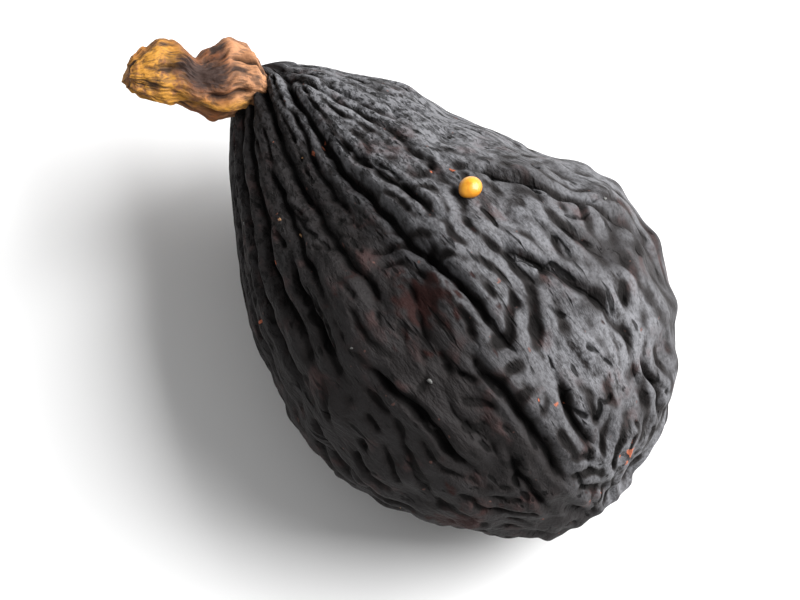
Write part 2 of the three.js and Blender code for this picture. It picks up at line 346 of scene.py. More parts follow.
UPPER_FURROWS = (
    Fold(-0.03, 0.76, (78, 95, 98, 95, 93), 1.0, 0.9),
    Fold(0.66, 0.92, (106, 105, 107), 0.8, 0.85),
    Fold(0.18, 0.57, (90, 88, 85, 82), 0.45, 0.75),
    Fold(0.08, 0.42, (95, 105, 109, 108), 0.5, 0.8),
    Fold(-0.03, 0.62, (104, 116, 121, 119, 120), 0.75, 0.9),
    Fold(0.12, 0.52, (124, 132, 132, 133), 0.55, 0.75),
    Fold(0.3, 0.62, (134, 140, 142, 143), 0.55, 0.75),
    Fold(-0.03, 0.62, (122, 138, 147, 149, 150), 0.75, 0.9),
    Fold(0.02, 0.64, (140, 152, 158, 160, 161), 0.7, 0.85),
    Fold(-0.03, 0.6, (156, 165, 170, 172, 174), 0.7, 0.85),
    Fold(0.56, 0.84, (137, 132, 133), 0.65, 0.8),
    Fold(-0.02, 0.32, (72, 63, 57), 0.55, 0.75),
    Fold(0.02, 0.49, (84, 70, 68, 73), 0.55, 0.75),
    Fold(-0.02, 0.4, (38, 44, 42, 44), 0.5, 0.75),
    Fold(-0.03, 0.45, (16, 27, 28, 30), 0.55, 0.8),
    Fold(0.35, 0.75, (67, 56, 44, 27, 14), 0.6, 1.15),
    Fold(0.57, 0.73, (55, 48, 36), 0.4, 1.0),
    Fold(0.55, 0.8, (77, 68, 58, 50), 0.6, 1.1),
    Fold(0.74, 0.9, (84, 90, 82), 0.5, 0.75),
    Fold(0.78, 0.93, (51, 45, 37), 0.45, 0.75),
    Fold(0.78, 0.94, (114, 121, 126), 0.45, 0.75),
)


@dataclass(frozen=True)
class Crack:
    """A short crack: its path by share of the length and degrees, its depth and half width."""

    path: tuple[tuple[float, float], ...]
    depth: float
    half_width: float


# The skin's cracks, too fine for the CAD solid
CRACKS = (
    Crack(((0.5, 95), (0.58, 94), (0.63, 94), (0.68, 94), (0.73, 93)), 0.4, 0.26),
    Crack(((0.2, 94), (0.28, 90), (0.35, 84), (0.41, 85), (0.46, 84)), 0.34, 0.23),
    Crack(((0.5, 69), (0.54, 70), (0.57, 72)), 0.3, 0.21),
    Crack(((0.58, 74), (0.61, 73), (0.63, 70), (0.65, 63), (0.67, 61), (0.7, 59)), 0.34, 0.22),
    Crack(
        ((0.47, 50), (0.51, 49), (0.54, 49), (0.57, 44), (0.59, 36), (0.61, 24), (0.65, 20)),
        0.34,
        0.24,
    ),
    Crack(((0.66, 26), (0.7, 17)), 0.34, 0.26),
    Crack(((0.59, 49), (0.61, 44), (0.62, 36)), 0.26, 0.3),
    Crack(((0.63, 51), (0.66, 46), (0.68, 31)), 0.26, 0.3),
    Crack(((0.61, 57), (0.66, 57)), 0.26, 0.23),
    Crack(((0.69, 46), (0.72, 46), (0.75, 46)), 0.3, 0.23),
    Crack(((0.81, 51), (0.85, 46), (0.89, 31)), 0.34, 0.23),
    Crack(((0.78, 82), (0.79, 88), (0.81, 87), (0.84, 82)), 0.42, 0.22),
    Crack(((0.84, 83), (0.82, 76), (0.82, 67)), 0.34, 0.21),
    Crack(((0.67, 105), (0.7, 108), (0.74, 106), (0.78, 105), (0.82, 108), (0.86, 107)), 0.38, 0.25),
    Crack(((0.81, 114), (0.85, 124), (0.9, 129)), 0.51, 0.3),
    Crack(((0.73, 121), (0.76, 123), (0.8, 122)), 0.34, 0.25),
    Crack(((0.6, 132), (0.69, 132), (0.75, 134), (0.79, 134)), 0.42, 0.24),
    Crack(((0.37, 140), (0.46, 142), (0.52, 143), (0.57, 143)), 0.34, 0.22),
    Crack(((0.4, 136), (0.5, 138), (0.57, 141)), 0.3, 0.22),
    Crack(((0.24, 134), (0.34, 126), (0.41, 122)), 0.34, 0.24),
    Crack(((0.09, 75), (0.13, 65), (0.18, 60)), 0.3, 0.22),
    Crack(((0.22, 53), (0.26, 57)), 0.34, 0.26),
    Crack(((0.45, 54), (0.49, 58)), 0.34, 0.3),
    Crack(((0.63, 120), (0.68, 114), (0.7, 111)), 0.3, 0.22),
    Crack(((0.74, 71), (0.77, 68), (0.8, 63)), 0.21, 0.23),
    Crack(((0.68, 75), (0.72, 70)), 0.21, 0.23),
    Crack(((0.88, 101), (0.93, 100)), 0.3, 0.25),
    Crack(((0.73, 84), (0.76, 84)), 0.26, 0.26),
    Crack(((0.37, 38), (0.38, 38)), 0.34, 0.26),
    Crack(((0.49, 41), (0.5, 37)), 0.34, 0.3),
    Crack(((0.31, 43), (0.33, 43)), 0.3, 0.33),
)

# Broad bulges and dents: along, angle in degrees, reach and height in millimetres
BULGES = (
    (0.68, 5, 7.5, 1.15),
    (0.36, 186, 6, 0.35),
    (0.34, 30, 5, -0.7),
    (0.8, 60, 5, 0.3),
    (0.84, 140, 4.5, -0.35),
    (0.5, 320, 6, -0.5),
    (0.75, 345, 4, -0.3),
    (0.86, 190, 5, -0.5),
    (0.62, 80, 4, 0.35),
    (0.338, 50, 1.1, -0.5),
    (0.39, 42, 0.9, -0.4),
    (0.575, 9, 3.2, 0.75),
    (0.18, 20, 2.4, 0.45),
    (0.265, 24, 2.0, -0.5),
    (0.42, 20, 2.6, -0.35),
    (0.97, 60, 3.2, -0.6),
    (0.0, 60, 2.2, -0.7),
)

# How a furrow wanders: how far in millimetres, and how often along and round the fruit
WANDER = ((0.17, 31, 5), (0.1, 67, -9), (0.07, 113, 14))


@dataclass(frozen=True)
class Zone:
    """A stretch of skin: its middle angle and reach in degrees, its middle and reach along."""

    angle: float
    angle_reach: float
    along: float
    along_reach: float

    def share(self, along: Array, angle: Array) -> Array:
        """Say how far places belong to the zone, up to 1 in its middle."""
        lengthwise = bell((along - self.along) / self.along_reach)
        return near(angle, self.angle, self.angle_reach) * lengthwise


@dataclass(frozen=True)
class EyeSize:
    """Sizes of the eye, in millimetres."""

    socket_radius: float = 2.3
    socket_depth: float = 1.1
    rim: float = 0.35
    pleats: int = 11
    pleat_depth: float = 0.2


@dataclass
class SkinRelief:
    """The folds, cracks, bulges and eye rim that stand on the smooth form."""

    form: FigForm
    eye: EyeSize = EyeSize()
    wide: float = 1.3
    crispness: float = 0.44
    pleat_seed: int = 7411
    pleats_from: float = 188.0
    pleats_to: float = 376.0
    pleat_step: float = 14.5
    pucker_seed: int = 90210
    pucker_count: int = 64
    pucker_share: float = 0.5
    neck_pleats: int = 24
    neck_share: float = 0.6
    neck_starts: float = 0.05
    lip_share: float = 0.2
    deepest: float = 1.6
    cleft_reach: float = 0.5
    crack_reach: float = 0.46
    crookedness: float = 0.09

    def lower_pleats(self) -> tuple[Fold, ...]:
        """Set out the pleats down the far side and the underside.

        Returns:
            The pleats.
        """
        dice = Dice(self.pleat_seed)
        pleats = []
        for angle in np.arange(self.pleats_from, self.pleats_to, self.pleat_step).tolist():
            start = angle + dice(-3, 3)
            begins, ends = dice(-0.03, 0.02), dice(0.5, 0.85)
            angles = (start, start + dice(-6, 6), start + dice(-6, 6))
            pleats.append(Fold(begins, ends, angles, dice(0.5, 0.85), dice(0.8, 1)))
        return tuple(pleats)

    def fat_end_puckers(self) -> tuple[Fold, ...]:
        """Scatter the short puckers round the fat end.

        Returns:
            The puckers.
        """
        dice = Dice(self.pucker_seed)
        puckers = []
        for _ in range(self.pucker_count):
            begins, start, slant = dice(0.45, 0.88), dice(0, 360), dice(-12, 12)
            ends = begins + dice(0.09, 0.17)
            angles = (start, start + slant / 2 + dice(-4, 4), start + slant)
            depth = self.pucker_share * dice(0.25, 0.45)
            puckers.append(Fold(begins, ends, angles, depth, dice(0.8, 1)))
        return tuple(puckers)

    def furrows(self) -> tuple[Fold, ...]:
        """Give the narrow folds, which steer the fine wrinkles."""
        return (*UPPER_FURROWS, *self.lower_pleats(), *self.fat_end_puckers())

    def traced(self, fold: Fold, along: Array, angle: Array, radius: Array) -> tuple[Array, Array]:
        """Follow a fold's slightly wandering line.

        Args:
            fold: The fold.
            along: Shares of the length.
            angle: Angles in radians.
            radius: Distances from the middle line.

        Returns:
            The distance from the fold's line in millimetres, and how much of it is left
            towards its ends.
        """
        share = (along - fold.start) / (fold.end - fold.start)
        centre = curve_through(fold.angles, share) * DEGREE
        wander = sum(far * np.sin(a * along + b * angle) for far, a, b in WANDER)
        off = np.abs(wrap(angle - centre) * radius + wander * radius / (radius + 3))
        return off, lasting(share, 0.08 if fold.start < self.neck_starts else 0.3, 0.65)

    def room(self, radius: Array) -> Array:
        """Give the half width that pleats side by side have room for."""
        return 0.8 * TURN * radius / self.neck_pleats

    def fold_height(self, along: Array, angle: Array, folds: tuple[Fold, ...]) -> Array:
        """Add up folds at places on the skin.

        Args:
            along: Shares of the length.
            angle: Angles in radians.
            folds: The folds to add.

        Returns:
            Heights in millimetres over the smooth form.
        """
        radius = self.form.section_radius(along, angle)
        room = self.room(radius)
        shallow = between(self.neck_share, 1, smoothstep(0.08, 0.42, along))
        height = np.zeros_like(radius)
        for fold in folds:
            off, left = self.traced(fold, along, angle, radius)
            wide = fold.half_width > self.wide
            left = left if wide else left * shallow
            half_width = fold.half_width * (1 if wide else self.crispness)
            width = np.minimum(half_width, 3 * room if wide else room)
            across = off / width
            section = -bell(across) if wide else self.lip_share * bell(across - 2) - trough(across)
            height += fold.depth * left * width / half_width * section
        return self.deepest * np.tanh(height / self.deepest)

    def cracked(self, along: Array, angle: Array) -> list[tuple[Crack, Array, Array]]:
        """Follow the cracks' paths over the smooth form, pushed about so that they look torn.

        Args:
            along: Shares of the length.
            angle: Angles in radians.

        Returns:
            For each crack, itself, the distance from its path in millimetres, and how much
            of it is left towards its ends.
        """
        push = [cloudy(seed, along.shape, (46, 60)) for seed in (41, 42, 43)]
        points = self.form.point(along, angle) + self.crookedness * np.stack(push, -1)
        found = []
        for crack in CRACKS:
            path = np.array(crack.path)
            stops = self.form.point(path[:, 0], path[:, 1] * DEGREE)
            nearest = np.full(along.shape, np.inf)
            share = np.zeros(along.shape)
            for step, (start, end) in enumerate(zip(stops[:-1], stops[1:])):
                line = end - start
                part = np.clip((points - start) @ line / (line @ line), 0, 1)
                away = lengths(points - start - part[..., None] * line)[..., 0]
                share = np.where(away < nearest, (step + part) / (len(stops) - 1), share)
                nearest = np.minimum(nearest, away)
            found.append((crack, nearest, lasting(share, 0.2, 0.75)))
        return found

    def crack_height(self, cracked: list[tuple[Crack, Array, Array]]) -> Array:
        """Give the cracks' heights in millimetres, which are below zero."""
        dug = [crack.depth * left * trough(off / crack.half_width) for crack, off, left in cracked]
        return -np.max(dug, 0)

    def furrow_lines(self, along: Array, angle: Array) -> Array:
        """Draw the furrows' bottoms as thin lines.

        Args:
            along: Shares of the length.
            angle: Angles in radians.

        Returns:
            Up to 1 on a line, falling evenly to 0 at the line's reach.
        """
        radius = self.form.section_radius(along, angle)
        reach = np.minimum(self.cleft_reach, 0.9 * self.room(radius))
        cleft = np.zeros_like(radius)
        for fold in self.furrows():
            off, left = self.traced(fold, along, angle, radius)
            strength = left * min(1, 0.55 + 0.5 * fold.depth)
            cleft = np.maximum(cleft, strength * np.clip(1 - off / reach, 0, 1))
        return cleft

    def crack_lines(self, cracked: list[tuple[Crack, Array, Array]]) -> Array:
        """Draw the cracks as thin lines.

        Args:
            cracked: The cracks, as followed over the skin.

        Returns:
            Up to 1 on a line, falling evenly to 0 at the line's reach.
        """
        cleft = np.zeros(cracked[0][1].shape)
        for crack, off, left in cracked:
            strength = np.sqrt(left) * min(1, 0.8 + 0.5 * crack.depth)
            cleft = np.maximum(cleft, strength * np.clip(1 - off / self.crack_reach, 0, 1))
        return cleft

    def bulge_height(self, points: Array) -> Array:
        """Add up the broad bulges and dents.

        Args:
            points: Points of the smooth form.

        Returns:
            Heights in millimetres.
        """
        height = np.zeros(points.shape[:-1])
        for along, angle, reach, rise in BULGES:
            centre = self.form.point(along, angle * DEGREE)
            height += rise * bell(lengths(points - centre)[..., 0] / reach)
        return height

    def eye_relief(self, along: Array, angle: Array) -> tuple[Array, Array]:
        """Shape the eye's rim, pleats and socket.

        Args:
            along: Shares of the length.
            angle: Angles in radians.

        Returns:
            How much of the folds is left, and the eye's own height in millimetres.
        """
        fat_half = along >= self.form.fattest
        out = self.form.pear_radius(along) - self.eye.socket_radius
        rim = self.eye.rim * bell((out - 0.8) / 0.7)
        pleats = self.eye.pleat_depth * np.cos(self.eye.pleats * angle)
        height = rim + pleats * bell((out - 2.4) / 1.5)
        height -= self.eye.socket_depth * smoothstep(0.1, 0.9, -out)
        calm = np.where(fat_half, smoothstep(0.4, 2.2, out), 1)
        return calm, np.where(fat_half, height, 0)


# Fine wrinkles of the skin


@dataclass
class WrinklePattern:
    """Wrinkles that a stiff skin falls into as the flesh under it shrinks.

    A sheet on a soft bed buckles at one wavelength. The pattern is grown from seeded
    unevenness by the buckling equation, with a wavelength and a grain that change from
    the neck to the eye and with the furrows pressed in from the start.
    """

    form: FigForm
    relief: SkinRelief
    rows: int = 250
    columns: int = 380
    steps: int = 420
    quick_steps: int = 40
    seed: int = 12
    start: float = 0.3
    longest_pace: float = 0.05
    neck_wave: float = 0.7
    body_wave: float = 1.3
    pressing: float = 1.1
    fineness: int = 6
    satin: Zone = Zone(48, 30, 0.5, 0.28)
    waves: Array = field(init=False)
    way: float = field(init=False)

    def fields(self, along: Array, angle: Array) -> dict[str, Array]:
        """Say how the skin buckles from place to place.

        Args:
            along: Shares of the length.
            angle: Angles in radians.

        Returns:
            The squared wavelength over a turn, the grain's strength, its lean in
            radians, the drive, and the leaning towards pebbles.
        """
        clouds = [
            cloudy(self.seed + number, along.shape, detail)
            for number, detail in ((1, (5, 7)), (2, (12, 16)), (3, (22, 26)), (4, (7, 9)))
        ]
        satin = self.satin.share(along, angle)
        wave = between(self.neck_wave, self.body_wave, smoothstep(0.02, 0.55, along))
        wave = wave * (1 + 0.3 * satin) * (1 + 0.12 * clouds[0])
        return {
            "wave2": (wave / TURN) ** 2,
            "grain": 2.0 - smoothstep(0.15, 0.65, along),
            "lean": 0.6 * clouds[1] * smoothstep(0.12, 0.5, along),
            "drive": 0.68 - 0.25 * satin + 0.28 * clouds[2],
            "pebbles": 0.1 - 0.8 * smoothstep(0.35, 0.6, along + 0.06 * clouds[3]),
        }

    def grow(self) -> None:
        """Run the buckling and keep its pattern."""
        shares, ways = self.form.arc_table()
        self.way = float(ways[-1])
        step = self.way / self.rows
        rows = np.interp((np.arange(self.rows) + 0.5) * step, ways, shares)
        turns = TURN * np.arange(self.columns) / self.columns
        along, angle = np.meshgrid(rows, turns, indexing="ij")
        girth = 0.93 * np.maximum(0.25, self.form.pear_radius(rows))[:, None]
        f = self.fields(along, angle)
        cos, sin = np.cos(f["lean"]), np.sin(f["lean"])
        pressed = -self.pressing * self.relief.furrow_lines(along, angle) ** 2

        order = np.arange(self.columns // 2 + 1)[None]
        finest = np.maximum(1, 2.1 * girth / np.sqrt(f["wave2"].mean(1, keepdims=True)))
        kept = np.exp(-((order / finest) ** 12))
        pitch = order / girth
        steepest = 4 / step**2 + 1.35 * (finest / girth) ** 2
        stiffness = (f["wave2"] * steepest - 1) ** 2 + 0.5 * f["grain"] * f["wave2"] * steepest
        pace = np.minimum(1.7 / (stiffness + 1.5), self.longest_pace)

        def around(sheet: Array, factor: Array) -> Array:
            """Filter a sheet round the fruit, wave by wave."""
            return np.fft.irfft(np.fft.rfft(sheet, axis=1) * kept * factor, self.columns, 1)

        def ended(sheet: Array) -> Array:
            """Repeat a sheet's first and last rows beyond it."""
            return np.concatenate([sheet[:1], sheet, sheet[-1:]])

        def bend(sheet: Array) -> Array:
            """Take the second slope along the fruit."""
            e = ended(sheet)
            return (e[2:] - 2 * sheet + e[:-2]) / step**2

        level = np.ones_like(pitch)
        sheet = self.start * np.random.default_rng(self.seed).standard_normal(along.shape)
        for _ in range(self.steps):
            sheet = around(sheet, level)
            e = ended(around(sheet, 1j * pitch))
            mixed = (e[2:] - e[:-2]) / (2 * step)
            across, lengthwise = around(sheet, -(pitch**2)), bend(sheet)
            curl = sheet + f["wave2"] * (lengthwise + across)
            stiff = curl + f["wave2"] * (bend(curl) + around(curl, -(pitch**2)))
            grain = cos * cos * lengthwise + 2 * sin * cos * mixed + sin * sin * across
            change = f["drive"] * sheet - stiff + f["grain"] * f["wave2"] * grain
            change += f["pebbles"] * sheet**2 - sheet**3 + pressed
            sheet = sheet + pace * change
        self.waves = around(sheet, level)

    def sampled(self, ways: Array, turns: Array) -> Array:
        """Read the pattern on a finer grid.

        Args:
            ways: The ways of the grid's rows from the neck, in millimetres.
            turns: The angles of the grid's columns, in radians.

        Returns:
            The pattern's values, about -1 in a crease and 1 on a ridge.
        """
        columns = self.fineness * self.columns
        spectrum = np.zeros((self.rows, columns // 2 + 1), complex)
        own = np.fft.rfft(self.waves, axis=1)
        spectrum[:, : own.shape[1]] = own
        even = np.fft.irfft(spectrum, columns, 1) * self.fineness
        fine = even[:, np.round(turns / TURN * columns).astype(int) % columns]
        place = np.clip(ways / self.way * self.rows - 0.5, 0, self.rows - 1.0001)
        step = np.floor(place).astype(int)
        held = [fine[np.clip(step + k, 0, self.rows - 1)] for k in (-1, 0, 1, 2)]
        return spline(*held, (place - step)[:, None])


# Node trees


def operator(operation: str, last: bool = False) -> Callable[["Wire", Value], "Wire"]:
    """Make an operator of the Wire class.

    Args:
        operation: The Math node's operation.
        last: Whether the wire is the second value, as in a reflected operator.

    Returns:
        The method.
    """

    def method(self: "Wire", other: Value) -> "Wire":
        """Add one Math node and give its result."""
        inputs = {0: other, 1: self} if last else {0: self, 1: other}
        return self.graph.node("ShaderNodeMath", {"operation": operation}, inputs)

    return method


@dataclass
class Wire:
    """One output socket of a node tree, with the operators of plain numbers."""

    graph: "Graph"
    socket: bpy.types.NodeSocket

    __add__, __radd__ = operator("ADD"), operator("ADD", last=True)
    __sub__, __rsub__ = operator("SUBTRACT"), operator("SUBTRACT", last=True)
    __mul__, __rmul__ = operator("MULTIPLY"), operator("MULTIPLY", last=True)
    __truediv__, __rtruediv__ = operator("DIVIDE"), operator("DIVIDE", last=True)

    def math(self, operation: str, *others: Value) -> "Wire":
        """Add a Math node of any other operation on this value."""
        inputs = dict(enumerate((self, *others)))
        return self.graph.node("ShaderNodeMath", {"operation": operation}, inputs)

    def ramp(self, low: float, high: float) -> "Wire":
        """Rise smoothly from 0 to 1 between two values, or fall from 1 to 0.

        Args:
            low: Where the result is 0.
            high: Where it is 1, which may be the lower of the two.

        Returns:
            The result.
        """
        inputs = {"Value": self, "From Min": low, "From Max": high}
        if low > high:
            inputs.update({"From Min": high, "From Max": low, "To Min": 1.0, "To Max": 0.0})
        return self.graph.node("ShaderNodeMapRange", {"interpolation_type": "SMOOTHSTEP"}, inputs)


class Graph:
    """A node tree that is filled by calls."""

    def __init__(self, tree: bpy.types.NodeTree) -> None:
        """Take a shader or geometry node tree and empty it."""
        self.tree = tree
        tree.nodes.clear()

    def feed(self, socket: bpy.types.NodeSocket, value: Value) -> None:
        """Link a wire to an input socket, or set the socket's own value.

        Args:
            socket: The input socket.
            value: The wire or the plain value.
        """
        if isinstance(value, Wire):
            self.tree.links.new(value.socket, socket)
        else:
            socket.default_value = value

    def raw(self, kind: str, settings: dict[str, Any], inputs: dict[Any, Value]) -> bpy.types.Node:
        """Add a node.

        Args:
            kind: The node's type name.
            settings: Its settings, which are set first.
            inputs: Values or wires by socket name or number.

        Returns:
            The node.
        """
        node = self.tree.nodes.new(kind)
        for name, value in settings.items():
            setattr(node, name, value)
        for key, value in inputs.items():
            self.feed(node.inputs[key], value)
        return node

    def node(
        self,
        kind: str,
        settings: dict[str, Any] | None = None,
        inputs: dict[Any, Value] | None = None,
        output: Any = 0,
    ) -> Wire:
        """Add a node and give one of its outputs.

        Args:
            kind: The node's type name.
            settings: Its settings.
            inputs: Values or wires by socket name or number.
            output: The name or number of the output socket.

        Returns:
            A wire from that output.
        """
        node = self.raw(kind, settings or {}, inputs or {})
        return Wire(self, node.outputs[output])

    def attribute(self, name: str, output: str = "Fac") -> Wire:
        """Read a mesh attribute of the piece."""
        return self.node("ShaderNodeAttribute", {"attribute_name": name}, {}, output)

    def place(self) -> Wire:
        """Read the piece's own coordinates, in metres."""
        return self.node("ShaderNodeTexCoord", output="Object")

    def drawn_out(self, vector: Wire, share: float) -> Wire:
        """Draw a pattern out along the third axis, by a share below 1."""
        inputs = {0: vector, 1: (1, 1, share)}
        return self.node("ShaderNodeVectorMath", {"operation": "MULTIPLY"}, inputs)

    def noise(self, at: Wire, size_mm: float, detail: float = 2.0, rough: float = 0.5) -> Wire:
        """Add noise with grains of a size in millimetres."""
        inputs = {"Vector": at, "Scale": 1 / (size_mm * MM), "Detail": detail, "Roughness": rough}
        return self.node("ShaderNodeTexNoise", {}, inputs, "Fac")

    def mix(self, below: Value, above: Value, factor: Value) -> Wire:
        """Lay one colour over another.

        Args:
            below: The colour underneath, three numbers or a wire.
            above: The colour on top, three numbers or a wire.
            factor: How much of the upper one shows.

        Returns:
            The mixed colour.
        """
        colours = [c if isinstance(c, Wire) else (*c, 1.0) for c in (below, above)]
        inputs = {0: factor, 6: colours[0], 7: colours[1]}
        node = self.raw("ShaderNodeMix", {"data_type": "RGBA"}, inputs)
        return Wire(self, node.outputs[2])

    def bump(self, height: Wire, depth_mm: float, under: Wire | None = None) -> Wire:
        """Turn a height into a bent normal.

        Args:
            height: The height, from 0 to 1.
            depth_mm: What a height of 1 measures, in millimetres.
            under: A normal that is already bent.

        Returns:
            The normal.
        """
        inputs: dict[Any, Value] = {"Height": height, "Distance": depth_mm * MM, "Strength": 1.0}
        if under is not None:
            inputs["Normal"] = under
        return self.node("ShaderNodeBump", {}, inputs, "Normal")

    def random(self, low: float, high: float, index: Wire, seed: Wire) -> Wire:
        """Add a seeded random number for each instance.

        Args:
            low: The lowest number.
            high: The highest number.
            index: The instance's number.
            seed: The random seed.

        Returns:
            The random number.
        """
        node = self.raw("FunctionNodeRandomValue", {"data_type": "FLOAT"}, {})
        shown = {socket.name: socket for socket in node.inputs if socket.enabled}
        for name, value in (("Min", low), ("Max", high), ("ID", index), ("Seed", seed)):
            self.feed(shown[name], value)
        return Wire(self, next(socket for socket in node.outputs if socket.enabled))


class Finish:
    """What all finishes share: a material with one principled shader."""

    name = "finish"

    def material(self) -> bpy.types.Material:
        """Build the material.

        Returns:
            The material.
        """
        material = bpy.data.materials.new(self.name)
        material.use_nodes = True
        graph = Graph(material.node_tree)
        shader = graph.node("ShaderNodeBsdfPrincipled", {}, self.sockets(graph))
        graph.raw("ShaderNodeOutputMaterial", {}, {"Surface": shader})
        return material

    def sockets(self, graph: Graph) -> dict[str, Value]:
        """Give the shader's sockets their values.

        Args:
            graph: The material's own node tree.

        Returns:
            Values or wires by the sockets' names.
        """
        raise NotImplementedError


@dataclass(frozen=True)
class SkinFinish(Finish):
    """Dry satin skin, painted near black with shade in its creases, cracks and pits, and with a thin
    grey bloom and painted sheen on what stands out, mostly on the side that faces the key light.
    """

    name: str = "fig_skin_finish"
    # The crease colour is painted shade, laid where the skin sinks.
    crease: Colour = (0.0022, 0.0018, 0.0017)
    flesh: Colour = (0.0118, 0.0098, 0.0098)
    # Grey bloom, which also lays the painted sheen on the ridges.
    bloom: Colour = (0.15, 0.15, 0.16)
    plum: Colour = (0.07, 0.036, 0.034)
    speck: Colour = (0.12, 0.06, 0.05)
    russet: Colour = (0.02, 0.005, 0.004)
    fleck: Colour = (0.45, 0.13, 0.065)
    patch_mm: float = 7.0
    tint_mm: float = 2.7
    cloud_mm: float = 0.9
    pit_mm: float = 0.6
    strand_mm: float = 0.36
    grit_mm: float = 0.28
    grit_depth_mm: float = 0.07
    cloud_depth_mm: float = 0.34
    pit_depth_mm: float = 0.16

    def sockets(self, graph: Graph) -> dict[str, Value]:
        """Give the shader's sockets their values, by colour layers from the flesh up.

        Args:
            graph: The material's own node tree.

        Returns:
            Values or wires by the sockets' names.
        """
        at, flow = graph.place(), graph.attribute("flow", "Vector")
        wrinkle, cleft = graph.attribute("wrinkle"), graph.attribute("cleft")
        patches = graph.noise(at, self.patch_mm, 3.0)
        clouds = graph.noise(flow, self.cloud_mm, 5.0, 0.65)
        grit = graph.noise(at, self.grit_mm, 4.0, 0.6)
        pits = graph.noise(graph.drawn_out(flow, 0.6), self.pit_mm, 2.0, 0.45).ramp(0.37, 0.27)
        strands = graph.noise(graph.drawn_out(flow, 0.3), self.strand_mm, 3.0, 0.6)
        strands = strands.ramp(0.52, 0.38) * graph.attribute("drawn")

        uneven = 1.2 * (clouds - 0.5)
        # Painted shade: the wrinkles' creases, the furrows' and cracks' bottom lines, the sunk pits and
        # the neck's sunk strands are darkened towards near black.
        creased = 0.72 * (wrinkle + 0.6 * uneven).ramp(-0.7, -1.15)
        cut = (cleft + 0.35 * uneven).ramp(0.45, 0.72)
        painted_shade = (creased + cut + 0.9 * pits + 0.75 * strands).math("MINIMUM", 1.0)
        stained = graph.attribute("russet") * clouds.ramp(0.2, 0.42)
        flecked = graph.attribute("fleck").ramp(0.25, 0.6)
        # Bloom and painted sheen: the grey lies on the ridge tops, and the bloom attribute adds painted
        # light on the side that faces the key light.
        risen = (wrinkle + 0.8 * (patches - 0.5)).ramp(-0.8, 0.25)
        dust_and_painted_sheen = risen * clouds.ramp(0.3, 0.5) * (0.45 + 0.55 * grit.ramp(0.28, 0.6))
        dust_and_painted_sheen = dust_and_painted_sheen * graph.attribute("bloom") * patches.ramp(0.2, 0.55) * (1 - stained)
        tinted = graph.noise(at, self.tint_mm, 2.0).ramp(0.52, 0.7) * clouds.ramp(0.4, 0.6)
        specks = graph.noise(at, self.pit_mm, 1.0).ramp(0.75, 0.8)

        colour = graph.mix(self.flesh, self.bloom, dust_and_painted_sheen)
        for layer, factor in (
            (self.plum, tinted * 0.5),
            (self.speck, specks * 0.7),
            (self.russet, stained * 0.9),
            # Painted shade: the crease colour darkens creases, cracks, pits and strands.
            (self.crease, painted_shade * 0.92),
            (self.fleck, flecked * 0.8),
        ):
            colour = graph.mix(colour, layer, factor)
        normal = graph.bump(clouds, self.cloud_depth_mm, graph.bump(grit, self.grit_depth_mm))
        sunk = 1 - 0.6 * pits - 0.6 * strands - 0.8 * cut
        return {
            "Base Color": colour,
            "Roughness": 0.6 + 0.15 * clouds + 0.2 * painted_shade,
            "Specular IOR Level": 0.16,
            "Normal": graph.bump(sunk, self.pit_depth_mm, normal),
        }


@dataclass(frozen=True)
class BarkFinish(Finish):
    """Dry fibrous wood: golden where the bark is torn, grey-brown along its fibres, with painted shade
    near black in its cracks and fibre grooves.
    """

    name: str = "stem_bark_finish"
    wood: Colour = (0.21, 0.085, 0.033)
    gold: Colour = (0.46, 0.21, 0.026)
    pale: Colour = (0.42, 0.2, 0.095)
    rust: Colour = (0.26, 0.085, 0.026)
    grey: Colour = (0.035, 0.017, 0.012)
    # The crack colour is painted shade.
    crack: Colour = (0.012, 0.005, 0.0035)
    fibre_mm: float = 0.2
    blotch_mm: float = 1.3
    fibre_depth_mm: float = 0.11
    blotch_depth_mm: float = 0.15

    def sockets(self, graph: Graph) -> dict[str, Value]:
        """Give the shader's sockets their values, by colour layers from the wood up.

        Args:
            graph: The material's own node tree.

        Returns:
            Values or wires by the sockets' names.
        """
        fibres = graph.noise(graph.attribute("flow", "Vector"), self.fibre_mm, 4.0, 0.65)
        blotches = graph.noise(graph.place(), self.blotch_mm, 4.0, 0.6)
        relief = graph.attribute("fibre_height")
        streaks = (fibres + 0.12 * relief).ramp(0.56, 0.38)
        colour = graph.mix(self.wood, self.rust, blotches.ramp(0.45, 0.62))
        for layer, factor in (
            (self.pale, graph.attribute("barked") * blotches.ramp(0.32, 0.55)),
            (self.gold, graph.attribute("golden") * blotches.ramp(0.36, 0.52)),
            (self.grey, streaks * 0.6),
            (self.grey, (graph.attribute("weathered") + 1.6 * (fibres - 0.5)).ramp(0.15, 0.75)),
            # Painted shade: the fibres' grooves and the cracks are darkened to near black.
            (self.crack, relief.ramp(-0.5, -1.6) * 0.85),
            (self.crack, graph.attribute("cracked")),
        ):
            colour = graph.mix(colour, layer, factor)
        normal = graph.bump(fibres, self.fibre_depth_mm)
        return {
            "Base Color": colour,
            "Roughness": 0.6 + 0.25 * fibres,
            "Specular IOR Level": 0.35,
            "Normal": graph.bump(blotches, self.blotch_depth_mm, normal),
        }


@dataclass(frozen=True)
class ScaleFinish(Finish):
    """Papery brown scales, mottled by noise from a dark brown to a paler brown."""

    name: str = "eye_scale_finish"
    heart: Colour = (0.035, 0.015, 0.009)
    edge: Colour = (0.15, 0.072, 0.036)
    vein_mm: float = 0.35
    vein_depth_mm: float = 0.04

    def sockets(self, graph: Graph) -> dict[str, Value]:
        """Give the shader's sockets their values.

        Args:
            graph: The material's own node tree.

        Returns:
            Values or wires by the sockets' names.
        """
        veins = graph.noise(graph.place(), self.vein_mm, 4.0, 0.6)
        return {
            "Base Color": graph.mix(self.heart, self.edge, veins.ramp(0.35, 0.65)),
            "Roughness": 0.5 + 0.3 * veins,
            "Normal": graph.bump(veins, self.vein_depth_mm),
        }


